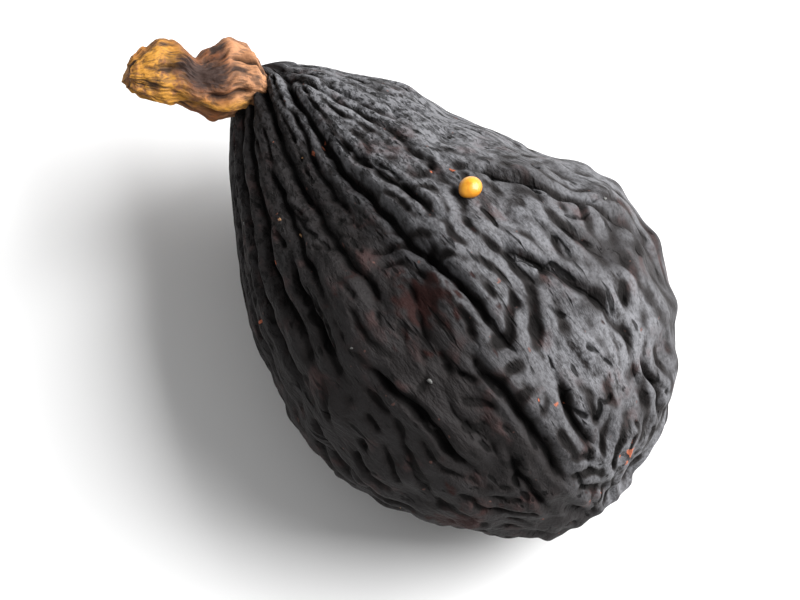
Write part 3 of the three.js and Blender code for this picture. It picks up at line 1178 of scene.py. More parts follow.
@dataclass(frozen=True)
class SeedFinish(Finish):
    """A smooth yellow seed coat, with painted light on its upper half and painted shade on its lower
    half, where it lies in the skin.
    """

    name: str = "fig_seed_finish"
    coat: Colour = (0.55, 0.21, 0.01)
    # The top colour is painted light, and the underside colour painted shade.
    top: Colour = (0.72, 0.33, 0.018)
    painted_underside_shade: Colour = (0.3, 0.1, 0.01)
    mottle_mm: float = 0.5
    grain_mm: float = 0.16
    grain_depth_mm: float = 0.008

    def sockets(self, graph: Graph) -> dict[str, Value]:
        """Give the shader's sockets their values.

        Args:
            graph: The material's own node tree.

        Returns:
            Values or wires by the sockets' names.
        """
        at, rise = graph.place(), graph.attribute("rise")
        mottle = graph.noise(at, self.mottle_mm, 3.0)
        # Painted light makes the coat paler towards the top; painted shade darkens it towards the skin.
        colour = graph.mix(self.coat, self.top, rise.ramp(0.0, 0.9) * mottle.ramp(0.3, 0.65))
        return {
            "Base Color": graph.mix(colour, self.painted_underside_shade, rise.ramp(0.05, -0.45)),
            "Roughness": 0.3 + 0.15 * mottle,
            "Coat Weight": 0.25,
            "Normal": graph.bump(graph.noise(at, self.grain_mm, 2.0), self.grain_depth_mm),
        }


@dataclass(frozen=True)
class CrumbFinish(Finish):
    """Dry crumbs of fig, from rust to cream."""

    name: str = "crumb_finish"
    rust: Colour = (0.26, 0.08, 0.04)
    tan: Colour = (0.36, 0.2, 0.09)
    cream: Colour = (0.11, 0.11, 0.105)

    def sockets(self, graph: Graph) -> dict[str, Value]:
        """Give the shader's sockets their values.

        Args:
            graph: The material's own node tree.

        Returns:
            Values or wires by the sockets' names.
        """
        tint = graph.attribute("tint")
        colour = graph.mix(self.rust, self.tan, tint.ramp(0.0, 0.5))
        return {"Base Color": graph.mix(colour, self.cream, tint.ramp(0.6, 0.9)), "Roughness": 0.7}


@dataclass(frozen=True)
class TableFinish(Finish):
    """A plain pale table top."""

    name: str = "table_finish"
    white: Colour = (0.86, 0.86, 0.86)

    def sockets(self, graph: Graph) -> dict[str, Value]:
        """Give the shader's sockets their values."""
        return {"Base Color": (*self.white, 1.0), "Roughness": 0.7, "Specular IOR Level": 0.2}


# Meshes


def ring_faces(rows: int, columns: int) -> Faces:
    """List the faces over rings of points between two closing points.

    Args:
        rows: The number of rings.
        columns: The number of points in a ring.

    Returns:
        Faces by point number: point 0 closes the first ring, the last point the last.
    """
    here = np.arange(columns)
    after = (here + 1) % columns
    first = [(0, 1 + b, 1 + a) for a, b in zip(here.tolist(), after.tolist())]
    rings = 1 + columns * np.arange(rows - 1)[:, None]
    corners = (rings + here, rings + after, rings + columns + after, rings + columns + here)
    quads = np.stack(corners, -1).reshape(-1, 4).tolist()
    end, last = 1 + columns * (rows - 1), 1 + columns * rows
    closing = [(last, end + a, end + b) for a, b in zip(here.tolist(), after.tolist())]
    return [*first, *map(tuple, quads), *closing]


def split_along_creases(faces: Faces, points: Array) -> Faces:
    """Cut four-sided faces in two along their shorter diagonals.

    Args:
        faces: Faces with three or four corners.
        points: The points that they join.

    Returns:
        Faces with three corners.
    """
    quads = np.array([face for face in faces if len(face) == 4])
    a, b, c, d = quads.T
    flipped = (lengths(points[a] - points[c]) > lengths(points[b] - points[d]))[:, 0]
    one = np.where(flipped, (a, b, d), (a, b, c)).T
    other = np.where(flipped, (b, c, d), (a, c, d)).T
    triangles = np.concatenate([one, other]).tolist()
    return [face for face in faces if len(face) == 3] + list(map(tuple, triangles))


def closed(first: Any, rings: Array, last: Any) -> Array:
    """List a closing point, the points of rings and another closing point."""
    return np.concatenate([np.reshape(first, (1, 3)), rings.reshape(-1, 3), np.reshape(last, (1, 3))])


def ball(rows: int, columns: int) -> Array:
    """Lay out the rings of points of a ball with radius 1.

    Args:
        rows: The number of rings, which run round the Z axis from the top down.
        columns: The number of points in a ring.

    Returns:
        The points, without the two at the ends.
    """
    tilt = math.pi * (np.arange(rows) + 1)[:, None] / (rows + 1)
    turns = TURN * np.arange(columns)[None] / columns
    level = np.cos(tilt) + 0 * turns
    return np.stack([np.sin(tilt) * np.sin(turns), np.sin(tilt) * np.cos(turns), level], -1)


def mesh_of(name: str, points_mm: Array, faces: Faces) -> bpy.types.Mesh:
    """Make a smooth mesh in metres.

    Args:
        name: Its name.
        points_mm: Its points in millimetres.
        faces: Its faces by point number.

    Returns:
        The mesh.
    """
    mesh = bpy.data.meshes.new(name)
    mesh.from_pydata((np.asarray(points_mm) * MM).tolist(), [], faces)
    mesh.shade_smooth()
    return mesh


def rounded_solid(name: str, points_mm: Array, rows: int, columns: int) -> bpy.types.Mesh:
    """Make a mesh over rings of points, with its faces outwards.

    Args:
        name: Its name.
        points_mm: Its points in millimetres, with the two closing ones.
        rows: The number of rings.
        columns: The number of points in a ring.

    Returns:
        The mesh.
    """
    mesh = mesh_of(name, points_mm, ring_faces(rows, columns))
    mesh.calc_loop_triangles()
    corners = np.zeros(3 * len(mesh.loop_triangles), np.int32)
    mesh.loop_triangles.foreach_get("vertices", corners)
    a, b, c = points_mm[corners.reshape(-1, 3)].transpose(1, 0, 2)
    if (a * np.cross(b, c)).sum() < 0:
        mesh.flip_normals()
    return mesh


def tell(mesh: bpy.types.Mesh, name: str, values: Array) -> None:
    """Store an attribute on a mesh's points.

    Args:
        mesh: The mesh.
        name: The attribute's name.
        values: One value or one vector for each point.
    """
    vector = values.ndim > 1
    kind, key = ("FLOAT_VECTOR", "vector") if vector else ("FLOAT", "value")
    attribute = mesh.attributes.new(name, kind, "POINT")
    attribute.data.foreach_set(key, values.astype(np.float32).ravel())


def tell_rings(mesh: bpy.types.Mesh, name: str, values: Array, repeated: int = 0) -> None:
    """Store an attribute on rings of points, with 0 on the two closing points.

    Args:
        mesh: The mesh.
        name: The attribute's name.
        values: One value or one vector for each point of the rings.
        repeated: How many rings more before the first have its values.
    """
    rings = np.concatenate([np.repeat(values[:1], repeated, 0), values])
    ends = np.zeros((1, *values.shape[2:]))
    tell(mesh, name, np.concatenate([ends, rings.reshape(-1, *values.shape[2:]), ends]))


def linked(name: str, data: Any) -> bpy.types.Object:
    """Put an object into the scene.

    Args:
        name: Its name.
        data: Its mesh, lamp or camera.

    Returns:
        The object.
    """
    shown = bpy.data.objects.new(name, data)
    bpy.context.scene.collection.objects.link(shown)
    return shown


def piece(name: str, mesh: bpy.types.Mesh, finish: Finish) -> bpy.types.Object:
    """Put a finished mesh into the scene and let it ride on the fig's body.

    Args:
        name: The piece's name.
        mesh: Its mesh, in place.
        finish: Its finish, for a mesh that has no material yet.

    Returns:
        The object.
    """
    shown = linked(name, mesh)
    if not mesh.materials:
        mesh.materials.append(finish.material())
    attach(shown, "root")
    mesh.calc_loop_triangles()
    LOG.info("%s: %d triangles", name, len(mesh.loop_triangles))
    return shown


def standing(place_mm: Array, direction: Array) -> Matrix:
    """Give the matrix that stands a shape's +Y axis along a direction at a place."""
    turn = Vector((0, 1, 0)).rotation_difference(Vector(direction))
    return Matrix.Translation(Vector(place_mm) * MM) @ turn.to_matrix().to_4x4()


# The pieces


@dataclass
class FigSkin:
    """The fruit: folded, wrinkled skin over the pear form, flat where it lies."""

    form: FigForm
    relief: SkinRelief
    pattern: WrinklePattern
    rows: int = 248
    columns: int = 386
    upper_crowding: float = 0.22
    neck_wrinkle: float = 0.3
    body_wrinkle: float = 0.195
    breaks: float = 0.3
    swelling: float = 0.16
    flow_pace: float = 0.45
    calm_side: Zone = Zone(18, 28, 0.7, 0.2)
    dome_rows: int = 9
    dome_height: float = 1.0
    dome_lean: tuple[float, float, float] = (0.0, -2.0, 1.3)
    finish: SkinFinish = SkinFinish()
    points: Array = field(init=False)
    outward: Array = field(init=False)
    shares: Array = field(init=False)
    turns: Array = field(init=False)

    # Stains: along, angle in degrees, and radius in millimetres
    russet_spots = ((0.573, 107, 1.5), (0.86, 160, 1.2), (0.4, 222, 1.4))
    fleck_spots = (
        (0.915, 66, 0.42),
        (0.787, 92, 0.26),
        (0.2, 95, 0.22),
        (0.625, 84, 0.17),
        (0.264, 136, 0.17),
        (0.7, 250, 0.3),
        (0.45, 300, 0.25),
    )

    def spots(self, marks: tuple[tuple[float, float, float], ...], edge: float) -> Array:
        """Mark stains on the skin's points, 1 inside them.

        Args:
            marks: The stains.
            edge: The softness of their edges, as a share of the radius.

        Returns:
            One value for each point of the rings.
        """
        marked = np.zeros(self.points.shape[:-1])
        uneven = 1 + 0.3 * cloudy(31, marked.shape, (60, 90))
        for along, angle, radius in marks:
            place, _ = self.spot(along, angle)
            away = lengths(self.points - place)[..., 0] / radius * uneven
            inside = 1 - smoothstep(1 - edge, 1 + edge, away)
            marked = np.maximum(marked, min(1, 2.5 * radius) * inside)
        return marked

    def spot(self, along: float, angle: float) -> tuple[Array, Array]:
        """Find the skin's surface at a place.

        Args:
            along: A share of the length.
            angle: An angle in degrees.

        Returns:
            The nearest point of the surface and its outward direction.
        """
        row = int(np.argmin(np.abs(self.shares - along)))
        column = int(np.argmin(np.abs(wrap(self.turns - angle * DEGREE))))
        return self.points[row, column], self.outward[row, column]

    def quiet(self, along: Array, angle: Array) -> Array:
        """Say how much relief is left, less on the far neck and beside the fat end."""
        neck = 1 - 0.65 * near(angle, 42, 32) * smoothstep(0.5, 0.3, along)
        return neck * (1 - 0.5 * self.calm_side.share(along, angle))

    def build(self) -> bpy.types.Object:
        """Build the skin and let it stand for the CAD fruit.

        Returns:
            The skin.
        """
        shares, ways = self.form.arc_table()
        way = np.arange(self.rows) / self.rows * ways[-1]
        self.shares = np.interp(way, ways, shares)
        even = TURN * np.arange(self.columns) / self.columns
        self.turns = even + self.upper_crowding * np.cos(even)
        along, angle = np.meshgrid(self.shares, self.turns, indexing="ij")

        smooth = self.form.point(along, angle)
        self.outward = self.form.normal(along, angle)
        calm, eye = self.relief.eye_relief(along, angle)
        quiet = self.quiet(along, angle)
        cracked = self.relief.cracked(along, angle)
        folds = (*FACETS_AND_RIDGES, *self.relief.furrows())
        creased = self.relief.fold_height(along, angle, folds) * quiet
        creased = creased + self.relief.crack_height(cracked)
        broken = self.breaks * cloudy(10, along.shape, (46, 60))
        wrinkle = (self.pattern.sampled(way, self.turns) + broken) * quiet
        fine = self.fine_height(along, wrinkle)
        height = calm * (self.relief.bulge_height(smooth) + creased + fine) + eye
        self.points = smooth + self.outward * height[..., None]
        self.points[..., 2] = np.maximum(self.points[..., 2], 0)

        pit = self.form.spine_point(np.array(1.0))
        pit = pit - self.form.direction(np.array(1.0)) * self.relief.eye.socket_depth
        dome, top = self.dome()
        every = closed(top, np.concatenate([dome, self.points]), pit)
        faces = ring_faces(self.dome_rows + self.rows, self.columns)
        mesh = mesh_of("fig_skin", every, split_along_creases(faces, every))

        girth = np.maximum(0.6, self.form.pear_radius(along))
        lengthwise = self.flow_pace * way[:, None] + 0 * angle
        flow = np.stack([girth * np.cos(angle), girth * np.sin(angle), lengthwise], -1)
        lines = np.maximum(self.relief.furrow_lines(along, angle), self.relief.crack_lines(cracked))
        for name, values in (
            ("wrinkle", wrinkle * calm),
            # The cleft lines place painted shade along the furrows' and cracks' bottoms.
            ("cleft", lines * calm * quiet * smoothstep(0, 0.03, along)),
            # Bloom with painted light on the side facing the key light and painted shade on the flank.
            ("bloom", self.bloom(along, angle)),
            ("drawn", smoothstep(0.6, 0.25, along)),
            ("russet", self.spots(self.russet_spots, 0.45)),
            ("fleck", self.spots(self.fleck_spots, 0.3)),
            ("flow", flow * MM),
        ):
            tell_rings(mesh, name, values, self.dome_rows)
        skin = piece("fig_skin", mesh, self.finish)
        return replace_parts(skin, "fruit")

    def bloom(self, along: Array, angle: Array) -> Array:
        """Lay the bloom with painted light: thick round the upper side that faces the key light and
        thicker towards the neck, half as thick round the far lower side, and thin elsewhere, as painted
        shade on the flank.

        Args:
            along: Shares of the length.
            angle: Angles in radians.

        Returns:
            The strength of the bloom and painted light, about 1 where it is whole.
        """
        # Painted light on the side that faces the key light.
        upper = smoothstep(82, 40, np.abs(wrap(angle - 36 * DEGREE)) / DEGREE)
        far_side = 0.5 * near(angle, -60, 40)
        whole = np.maximum(0.05, np.maximum(upper, far_side))
        return whole * (1 + 0.8 * smoothstep(0.5, 0.15, along))

    def dome(self) -> tuple[Array, Array]:
        """Draw the pleats in over the neck's tip, up to the stem.

        Returns:
            The dome's rings of points, from its top down, and its top.
        """
        neck, out = self.form.spine_point(np.array(0.0)), -self.form.direction(np.array(0.0))
        rise = np.linspace(88, 8, self.dome_rows)[:, None, None] * DEGREE
        lean = np.array(self.dome_lean)
        rings = neck + (self.points[:1] - neck) * np.cos(rise) + out * self.dome_height * np.sin(rise)
        return rings + lean * (1 - np.cos(rise)), neck + out * self.dome_height + lean

    def fine_height(self, along: Array, wrinkle: Array) -> Array:
        """Turn the wrinkle pattern into height.

        Args:
            along: Shares of the length.
            wrinkle: The pattern, -1 in a crease and 1 on a ridge.

        Returns:
            Heights in millimetres: low flat ridges between narrow broken creases.
        """
        depth = between(self.neck_wrinkle, self.body_wrinkle, smoothstep(0.05, 0.5, along))
        depth = depth * np.clip(1 + 0.6 * cloudy(8, along.shape, (24, 30)), 0.15, 2.0)
        rounded = 1 - np.exp(-1.7 * np.maximum(0, 1 + wrinkle))
        cut = smoothstep(-0.5, -1.2, wrinkle)
        swelling = self.swelling * cloudy(9, along.shape, (17, 20)) * smoothstep(0.25, 0.6, along)
        return depth * (0.35 * rounded - 0.7 * cut - 0.15) + swelling


# Along the stem: distance, sideways shift, half breadth and half thickness
STEM_STATIONS = (
    (0, -0.6, 1.0, 1.0),
    (0.4, -0.55, 1.85, 1.5),
    (1.1, -0.2, 2.4, 1.9),
    (2.4, 0.0, 2.75, 1.9),
    (3.6, -0.45, 2.55, 1.7),
    (5.2, -0.45, 1.95, 1.5),
    (6.4, 0.2, 2.2, 1.45),
    (7.4, 0.3, 2.3, 1.4),
    (8.5, 0.1, 1.85, 1.3),
    (9.3, 0.0, 1.4, 1.1),
    (9.75, -0.05, 0.95, 0.8),
)


@dataclass(frozen=True)
class Split:
    """A band along the fibres: from, to, its angle in degrees, half width, slant and strength."""

    start: float
    end: float
    degrees: float
    width: float
    slant: float = 0.0
    strength: float = 1.0


STEM_CRACKS = (
    Split(0.0, 2.6, 76, 0.2, -1.5),
    Split(1.6, 4.4, 128, 0.22, 1.0, 0.9),
    Split(6.2, 8.8, 92, 0.16, 2.0, 0.6),
    Split(3.0, 5.4, 60, 0.15, -2.0, 0.6),
)
STEM_FLAP = Split(1.5, 5.0, 150, 0.55, 1.5)
STEM_GOLD = Split(5.0, 8.5, 160, 0.7, 0.0, 0.8)


@dataclass
class Stem:
    """The woody stub that lies across the neck's tip."""

    form: FigForm
    turn: float = 68.0
    lift: float = 19.0
    seat_outward: float = 0.2
    seat_forward: float = 0.9
    seat_lift: float = 1.3
    seat_sideways: float = -0.9
    band_edge: float = 0.3
    rows: int = 230
    columns: int = 200
    finish: BarkFinish = BarkFinish()

    def axes(self) -> tuple[Array, Array, Array, Array]:
        """Find how the stem lies.

        Returns:
            Its forward, broad and thick directions and its foot.
        """
        outward = -self.form.direction(np.array(0.0))
        cos, sin = math.cos(self.turn * DEGREE), math.sin(self.turn * DEGREE)
        level = np.array([outward[0] * cos - outward[1] * sin, outward[0] * sin + outward[1] * cos, 0])
        level /= np.linalg.norm(level)
        lift = self.lift * DEGREE
        forward = level * math.cos(lift) + np.array([0, 0, math.sin(lift)])
        broad = np.cross(forward, (0, 0, 1))
        broad /= np.linalg.norm(broad)
        thick = np.cross(broad, forward)
        foot = self.form.spine_point(np.array(0.0)) + outward * self.seat_outward
        foot = foot + forward * self.seat_forward + thick * self.seat_lift + broad * self.seat_sideways
        return forward, broad, thick, foot

    def stations(self, distance: Array) -> Array:
        """Read the stem's section.

        Args:
            distance: Distances from the foot.

        Returns:
            The shift, half breadth and half thickness at each.
        """
        table = np.array(STEM_STATIONS)
        low = np.clip(np.searchsorted(table[:, 0], distance) - 1, 0, len(table) - 2)
        share = (distance - table[low, 0]) / (table[low + 1, 0] - table[low, 0])
        blend = smoothstep(0, 1, share)[:, None]
        return table[low, 1:] * (1 - blend) + table[low + 1, 1:] * blend

    def marked(self, split: Split, far: Array, angle: Array, breadth: Array) -> Array:
        """Mark a band along the fibres.

        Args:
            split: The band.
            far: Distances from the foot.
            angle: Angles in radians.
            breadth: The stem's half breadth.

        Returns:
            Up to the band's strength inside it.
        """
        edge = self.band_edge
        centre = (split.degrees + split.slant * (far - split.start)) * DEGREE
        across = bell(wrap(angle - centre) * breadth / split.width)
        begun = smoothstep(split.start - edge, split.start + edge, far)
        ended = smoothstep(split.end - edge, split.end + edge, far)
        return split.strength * across * begun * (1 - ended)

    def build(self) -> bpy.types.Object:
        """Build the stub and let it stand for the CAD stem.

        Returns:
            The stub.
        """
        forward, broad, thick, foot = self.axes()
        length = STEM_STATIONS[-1][0]
        reach = np.linspace(0, length, self.rows)
        shift, breadth, thickness = self.stations(reach).T[..., None]
        turns = -TURN * np.arange(self.columns) / self.columns
        far, angle = np.meshgrid(reach, turns, indexing="ij")
        swell = 1 + 0.05 * np.sin(7 * angle + 0.7 * far) + 0.05 * np.sin(4 * angle - 0.5 * far + 1)

        waves = cloudy(41, far.shape, (6, 15))
        threads = cloudy(42, far.shape, (12, 55))
        lumps = cloudy(44, far.shape, (5, 5))
        fibres = 0.55 * waves + 0.45 * threads
        crack = sum(self.marked(split, far, angle, breadth) for split in STEM_CRACKS)
        flap = self.marked(STEM_FLAP, far, angle, breadth)
        notch = bell((far - 4.95) / 0.5) * bell(wrap(angle - 10 * DEGREE) * 2 / 1.1)
        ends = smoothstep(0, 0.5, far) * (1 - 0.4 * smoothstep(9.0, 9.7, far))
        relief = (0.08 * fibres + 0.1 * lumps - 0.42 * crack + 0.28 * flap - 0.5 * notch) * ends
        broken = 0.12 * cloudy(43, far.shape, (2, 7)) * smoothstep(8.6, 9.7, far)

        wide = breadth * swell + relief
        high = thickness * swell + relief
        points = (
            foot
            + forward * (far + broken)[..., None]
            + broad * (shift + wide * np.cos(angle))[..., None]
            + thick * (high * np.sin(angle))[..., None]
        )
        first = foot - 0.1 * forward + broad * STEM_STATIONS[0][1]
        last = foot + forward * (length - 0.15) + broad * STEM_STATIONS[-1][1]
        every = closed(first, points, last)
        mesh = mesh_of("stem_stub", every, ring_faces(self.rows, self.columns))

        golden = smoothstep(5.4, 7.0, far) * (1 - 0.6 * bell(wrap(angle - 20 * DEGREE) / 0.4))
        golden = golden + flap + self.marked(STEM_GOLD, far, angle, breadth)
        weathered = bell(wrap(angle - 92 * DEGREE) / 0.62) * bell((far - 4.9) / 2.1)
        flow = np.stack([breadth * np.cos(angle), breadth * np.sin(angle), 0.12 * far], -1)
        for name, values in (
            ("fibre_height", fibres),
            ("cracked", np.clip(crack, 0, 1)),
            ("golden", np.clip(golden, 0, 1)),
            ("barked", smoothstep(3.6, 2.2, far)),
            ("weathered", weathered),
            ("flow", flow * MM),
        ):
            tell_rings(mesh, name, values)
        stub = piece("stem_stub", mesh, self.finish)
        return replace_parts(stub, "stem")


class GeometryRecipe:
    """A Geometry Nodes tree with named inputs that makes one piece's mesh."""

    def __init__(self, name: str, inputs: dict[str, str]) -> None:
        """Start the tree.

        Args:
            name: The tree's name.
            inputs: The kinds of its named inputs.
        """
        self.tree = bpy.data.node_groups.new(name, "GeometryNodeTree")
        self.graph = Graph(self.tree)
        self.socket("Geometry", "Geometry", "INPUT")
        self.socket("Geometry", "Geometry", "OUTPUT")
        self.keys = {name: self.socket(name, kind, "INPUT") for name, kind in inputs.items()}

    def socket(self, name: str, kind: str, side: str) -> str:
        """Add a socket to the tree's face and give its identifier."""
        face = self.tree.interface
        return face.new_socket(name, in_out=side, socket_type="NodeSocket" + kind).identifier

    def inputs(self) -> dict[str, Wire]:
        """Give a wire from each of the tree's inputs."""
        node = self.graph.raw("NodeGroupInput", {}, {})
        return {s.name: Wire(self.graph, s) for s in node.outputs if s.name}

    def deliver(self, stand: dict[str, Value], material: Wire) -> None:
        """End the tree: set instances on points, make them real and dress them.

        Args:
            stand: The inputs of the node that sets the instances.
            material: The material.
        """
        shapes = self.graph.node("GeometryNodeInstanceOnPoints", {}, stand)
        real = self.graph.node("GeometryNodeRealizeInstances", {}, {"Geometry": shapes})
        dressed = {"Geometry": real, "Material": material}
        done = self.graph.node("GeometryNodeSetMaterial", {}, dressed)
        self.graph.raw("NodeGroupOutput", {}, {"Geometry": done})

    def mesh(self, name: str, start: bpy.types.Mesh, values: dict[str, Any]) -> bpy.types.Mesh:
        """Run the tree once and keep the plain mesh.

        Args:
            name: The name of the mesh.
            start: The mesh that the tree starts from.
            values: The values of its named inputs.

        Returns:
            The made mesh.
        """
        carrier = linked(name + "_carrier", start)
        modifier = carrier.modifiers.new("recipe", "NODES")
        modifier.node_group = self.tree
        for key, value in values.items():
            modifier[self.keys[key]] = value
        bpy.context.view_layer.update()
        graph = bpy.context.evaluated_depsgraph_get()
        made = bpy.data.meshes.new_from_object(carrier.evaluated_get(graph))
        made.name = name
        carrier.modifiers.remove(modifier)
        bpy.data.objects.remove(carrier)
        return made


@dataclass(frozen=True)
class ScaleRing:
    """One ring of scales: its piece's name, their number, radius, lean, size and seed."""

    name: str
    count: int
    radius: float
    lean: float
    size: float
    seed: int


@dataclass
class EyeScales:
    """The rings of small papery scales that close the eye."""

    form: FigForm
    rings: tuple[ScaleRing, ...] = (
        ScaleRing("eye_scales_outer", 7, 1.28, 0.62, 1.0, 3),
        ScaleRing("eye_scales_inner", 5, 0.62, 0.97, 0.7, 11),
    )
    half_size: tuple[float, float, float] = (0.95, 0.78, 0.2)
    cupped: float = 0.28
    sunk: float = 0.4
    rows: int = 10
    columns: int = 16
    finish: ScaleFinish = ScaleFinish()

    def scale_mesh(self) -> bpy.types.Mesh:
        """Shape one scale: a cupped, pointed leaf that lies along +X.

        Returns:
            Its mesh.
        """
        along = (np.arange(self.rows) + 0.5)[:, None] / self.rows
        turns = TURN * np.arange(self.columns)[None] / self.columns
        x, y, z = self.half_size
        outline = np.sin(math.pi * along**0.8) ** 0.7
        broad = outline * np.cos(turns)
        thick = z * outline * np.sin(turns) + self.cupped * broad**2
        points = np.stack([x * (1 - 2 * along) + 0 * turns, y * outline * np.cos(turns), thick], -1)
        every = closed((x, 0, 0), points, (-x, 0, 0.05))
        return rounded_solid("eye_scale", every, self.rows, self.columns)

    def recipe(self) -> GeometryRecipe:
        """Build the tree that sets scales round a ring, leaning in over the mouth.

        Returns:
            The tree.
        """
        numbers = {"Count": "Int", "Radius": "Float", "Lean": "Float", "Size": "Float", "Seed": "Int"}
        recipe = GeometryRecipe("ring_of_scales", {**numbers, "Scale": "Object", "Material": "Material"})
        graph, given = recipe.graph, recipe.inputs()
        index = graph.node("GeometryNodeInputIndex")
        angle = index * TURN / given["Count"] + 0.12 * index.math("MODULO", 3.0)
        apart = given["Radius"] * (1 + 0.08 * index.math("MODULO", 2.0))
        across = {"X": apart * angle.math("COSINE"), "Y": apart * angle.math("SINE")}
        place = graph.node("ShaderNodeCombineXYZ", {}, across)
        ring = graph.node("GeometryNodePoints", {}, {"Count": given["Count"], "Position": place})
        unsteady = graph.random(-0.22, 0.22, index, given["Seed"])
        turned = {"X": 0.5 * unsteady, "Y": given["Lean"] + unsteady, "Z": angle}
        euler = graph.node("ShaderNodeCombineXYZ", {}, turned)
        size = given["Size"] * graph.random(0.85, 1.12, index, given["Seed"] + 7)
        shape = {"Object": given["Scale"]}
        scale = graph.node("GeometryNodeObjectInfo", {}, shape, "Geometry")
        stand = {"Points": ring, "Instance": scale, "Rotation": euler, "Scale": size}
        recipe.deliver(stand, given["Material"])
        return recipe

    def build(self) -> bpy.types.Object:
        """Build the rings of scales and let the outer one stand for the CAD scales.

        Returns:
            The outer ring.
        """
        pattern = bpy.data.objects.new("scale_pattern", self.scale_mesh())
        recipe, material = self.recipe(), self.finish.material()
        axis = self.form.direction(np.array(1.0))
        upright = Matrix(((0, 1, 0, 0), (0, 0, 1, 0), (1, 0, 0, 0), (0, 0, 0, 1)))
        where = standing(self.form.spine_point(np.array(1.0)) - axis * self.sunk, axis) @ upright
        shown = []
        for ring in self.rings:
            values = {
                "Count": ring.count,
                "Radius": ring.radius * MM,
                "Lean": ring.lean,
                "Size": ring.size,
                "Seed": ring.seed,
                "Scale": pattern,
                "Material": material,
            }
            mesh = recipe.mesh(ring.name, bpy.data.meshes.new("nothing"), values)
            mesh.transform(where)
            shown.append(piece(ring.name, mesh, self.finish))
        bpy.data.objects.remove(pattern)
        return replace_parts(shown[0], "eye_scales")


@dataclass
class StuckSeed:
    """The fig seed that stuck to the skin as it dried."""

    form: FigForm
    half_size: tuple[float, float, float] = (0.78, 0.66, 0.86)
    beak: float = 0.07
    along: float = 0.476
    angle: float = 68.0
    rows: int = 48
    columns: int = 72
    finish: SeedFinish = SeedFinish()

    def build(self) -> bpy.types.Object:
        """Build the seed and let it stand for the CAD seed.

        Returns:
            The seed.
        """
        smooth = ball(self.rows, self.columns)
        top = smooth[..., 2:]
        beak = 1 + self.beak * smoothstep(0.75, 1, top)
        slim = 1 - 0.08 * smoothstep(-0.2, 1, top)
        dent = 1 - 0.03 * bell(lengths(smooth - (0.5, 0.75, -0.2)) / 0.35)
        shape = smooth * np.array(self.half_size) * np.concatenate([slim, slim, beak], -1) * dent
        half_length = self.half_size[2]
        every = closed((0, 0, half_length * (1 + self.beak)), shape, (0, 0, -half_length))
        mesh = rounded_solid("yellow_seed", every, self.rows, self.columns)
        tell(mesh, "rise", every[:, 1] / self.half_size[1])
        low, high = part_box("stuck_seed")
        outward = self.form.normal(self.along, self.angle * DEGREE)
        mesh.transform(standing(np.array((low + high) / 2) / MM, outward))
        seed = piece("yellow_seed", mesh, self.finish)
        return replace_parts(seed, "stuck_seed")


@dataclass
class Crumbs:
    """Dry crumbs of fig that cling to the skin."""

    skin: FigSkin
    count: int = 12
    places_seed: int = 4711
    turns_seed: int = 5
    stretched: tuple[float, float, float] = (1.2, 0.8, 0.55)
    rows: int = 5
    columns: int = 8
    finish: CrumbFinish = CrumbFinish()

    # Crumbs on the upper side: along, angle in degrees, radius and tint
    seen = (
        (0.673, 122, 0.16, 1.0),
        (0.322, 132, 0.15, 0.45),
        (0.279, 136, 0.12, 0.4),
        (0.6, 30, 0.14, 0.95),
    )

    def crumb_mesh(self) -> bpy.types.Mesh:
        """Shape one crumb: a small angular lump.

        Returns:
            Its mesh.
        """
        lumps = 1 + 0.22 * cloudy(61, (self.rows, self.columns), (3, 3))
        points = ball(self.rows, self.columns) * lumps[..., None] * self.stretched
        half_height = self.stretched[2]
        every = closed((0, 0, half_height), points, (0, 0, -half_height))
        return rounded_solid("crumb", every, self.rows, self.columns)

    def places(self) -> bpy.types.Mesh:
        """Choose the crumbs' places on the skin with a seeded rule.

        Returns:
            A mesh of points that hold each crumb's direction, radius and tint.
        """
        dice = Dice(self.places_seed)
        marks = list(self.seen)
        while len(marks) < self.count:
            marks.append((dice(0.12, 0.93), dice(-30, 210), dice(0.05, 0.1), dice(0, 1)))
        found = [self.skin.spot(along, angle) for along, angle, _, _ in marks]
        places = mesh_of("crumb_places", np.array([place for place, _ in found]), [])
        tell(places, "facing", np.array([facing for _, facing in found]))
        tell(places, "radius", np.array([radius for _, _, radius, _ in marks]))
        tell(places, "tint", np.array([tint for *_, tint in marks]))
        return places

    def recipe(self) -> GeometryRecipe:
        """Build the tree that sets crumbs on points, each flat on the skin.

        Returns:
            The tree.
        """
        inputs = {"Crumb": "Object", "Seed": "Int", "Material": "Material"}
        recipe = GeometryRecipe("crumbs_on_skin", inputs)
        graph, given = recipe.graph, recipe.inputs()
        read = "GeometryNodeInputNamedAttribute"
        facing = graph.node(read, {"data_type": "FLOAT_VECTOR"}, {"Name": "facing"})
        radius = graph.node(read, {"data_type": "FLOAT"}, {"Name": "radius"})
        aligned = graph.node("FunctionNodeAlignRotationToVector", {"axis": "Z"}, {"Vector": facing})
        spin = graph.random(0.0, TURN, graph.node("GeometryNodeInputIndex"), given["Seed"])
        about = graph.node("ShaderNodeCombineXYZ", {}, {"Z": spin})
        turned = {"Rotation": aligned, "Rotate By": about}
        rotation = graph.node("FunctionNodeRotateRotation", {"rotation_space": "LOCAL"}, turned)
        crumb = graph.node("GeometryNodeObjectInfo", {}, {"Object": given["Crumb"]}, "Geometry")
        stand = {"Points": given["Geometry"], "Instance": crumb, "Rotation": rotation, "Scale": radius}
        recipe.deliver(stand, given["Material"])
        return recipe

    def build(self) -> bpy.types.Object:
        """Set the crumbs on the skin.

        Returns:
            The crumbs, as one piece.
        """
        pattern = bpy.data.objects.new("crumb_pattern", self.crumb_mesh())
        values = {"Crumb": pattern, "Seed": self.turns_seed, "Material": self.finish.material()}
        mesh = self.recipe().mesh("crumbs", self.places(), values)
        bpy.data.objects.remove(pattern)
        return piece("crumbs", mesh, self.finish)


# Studio


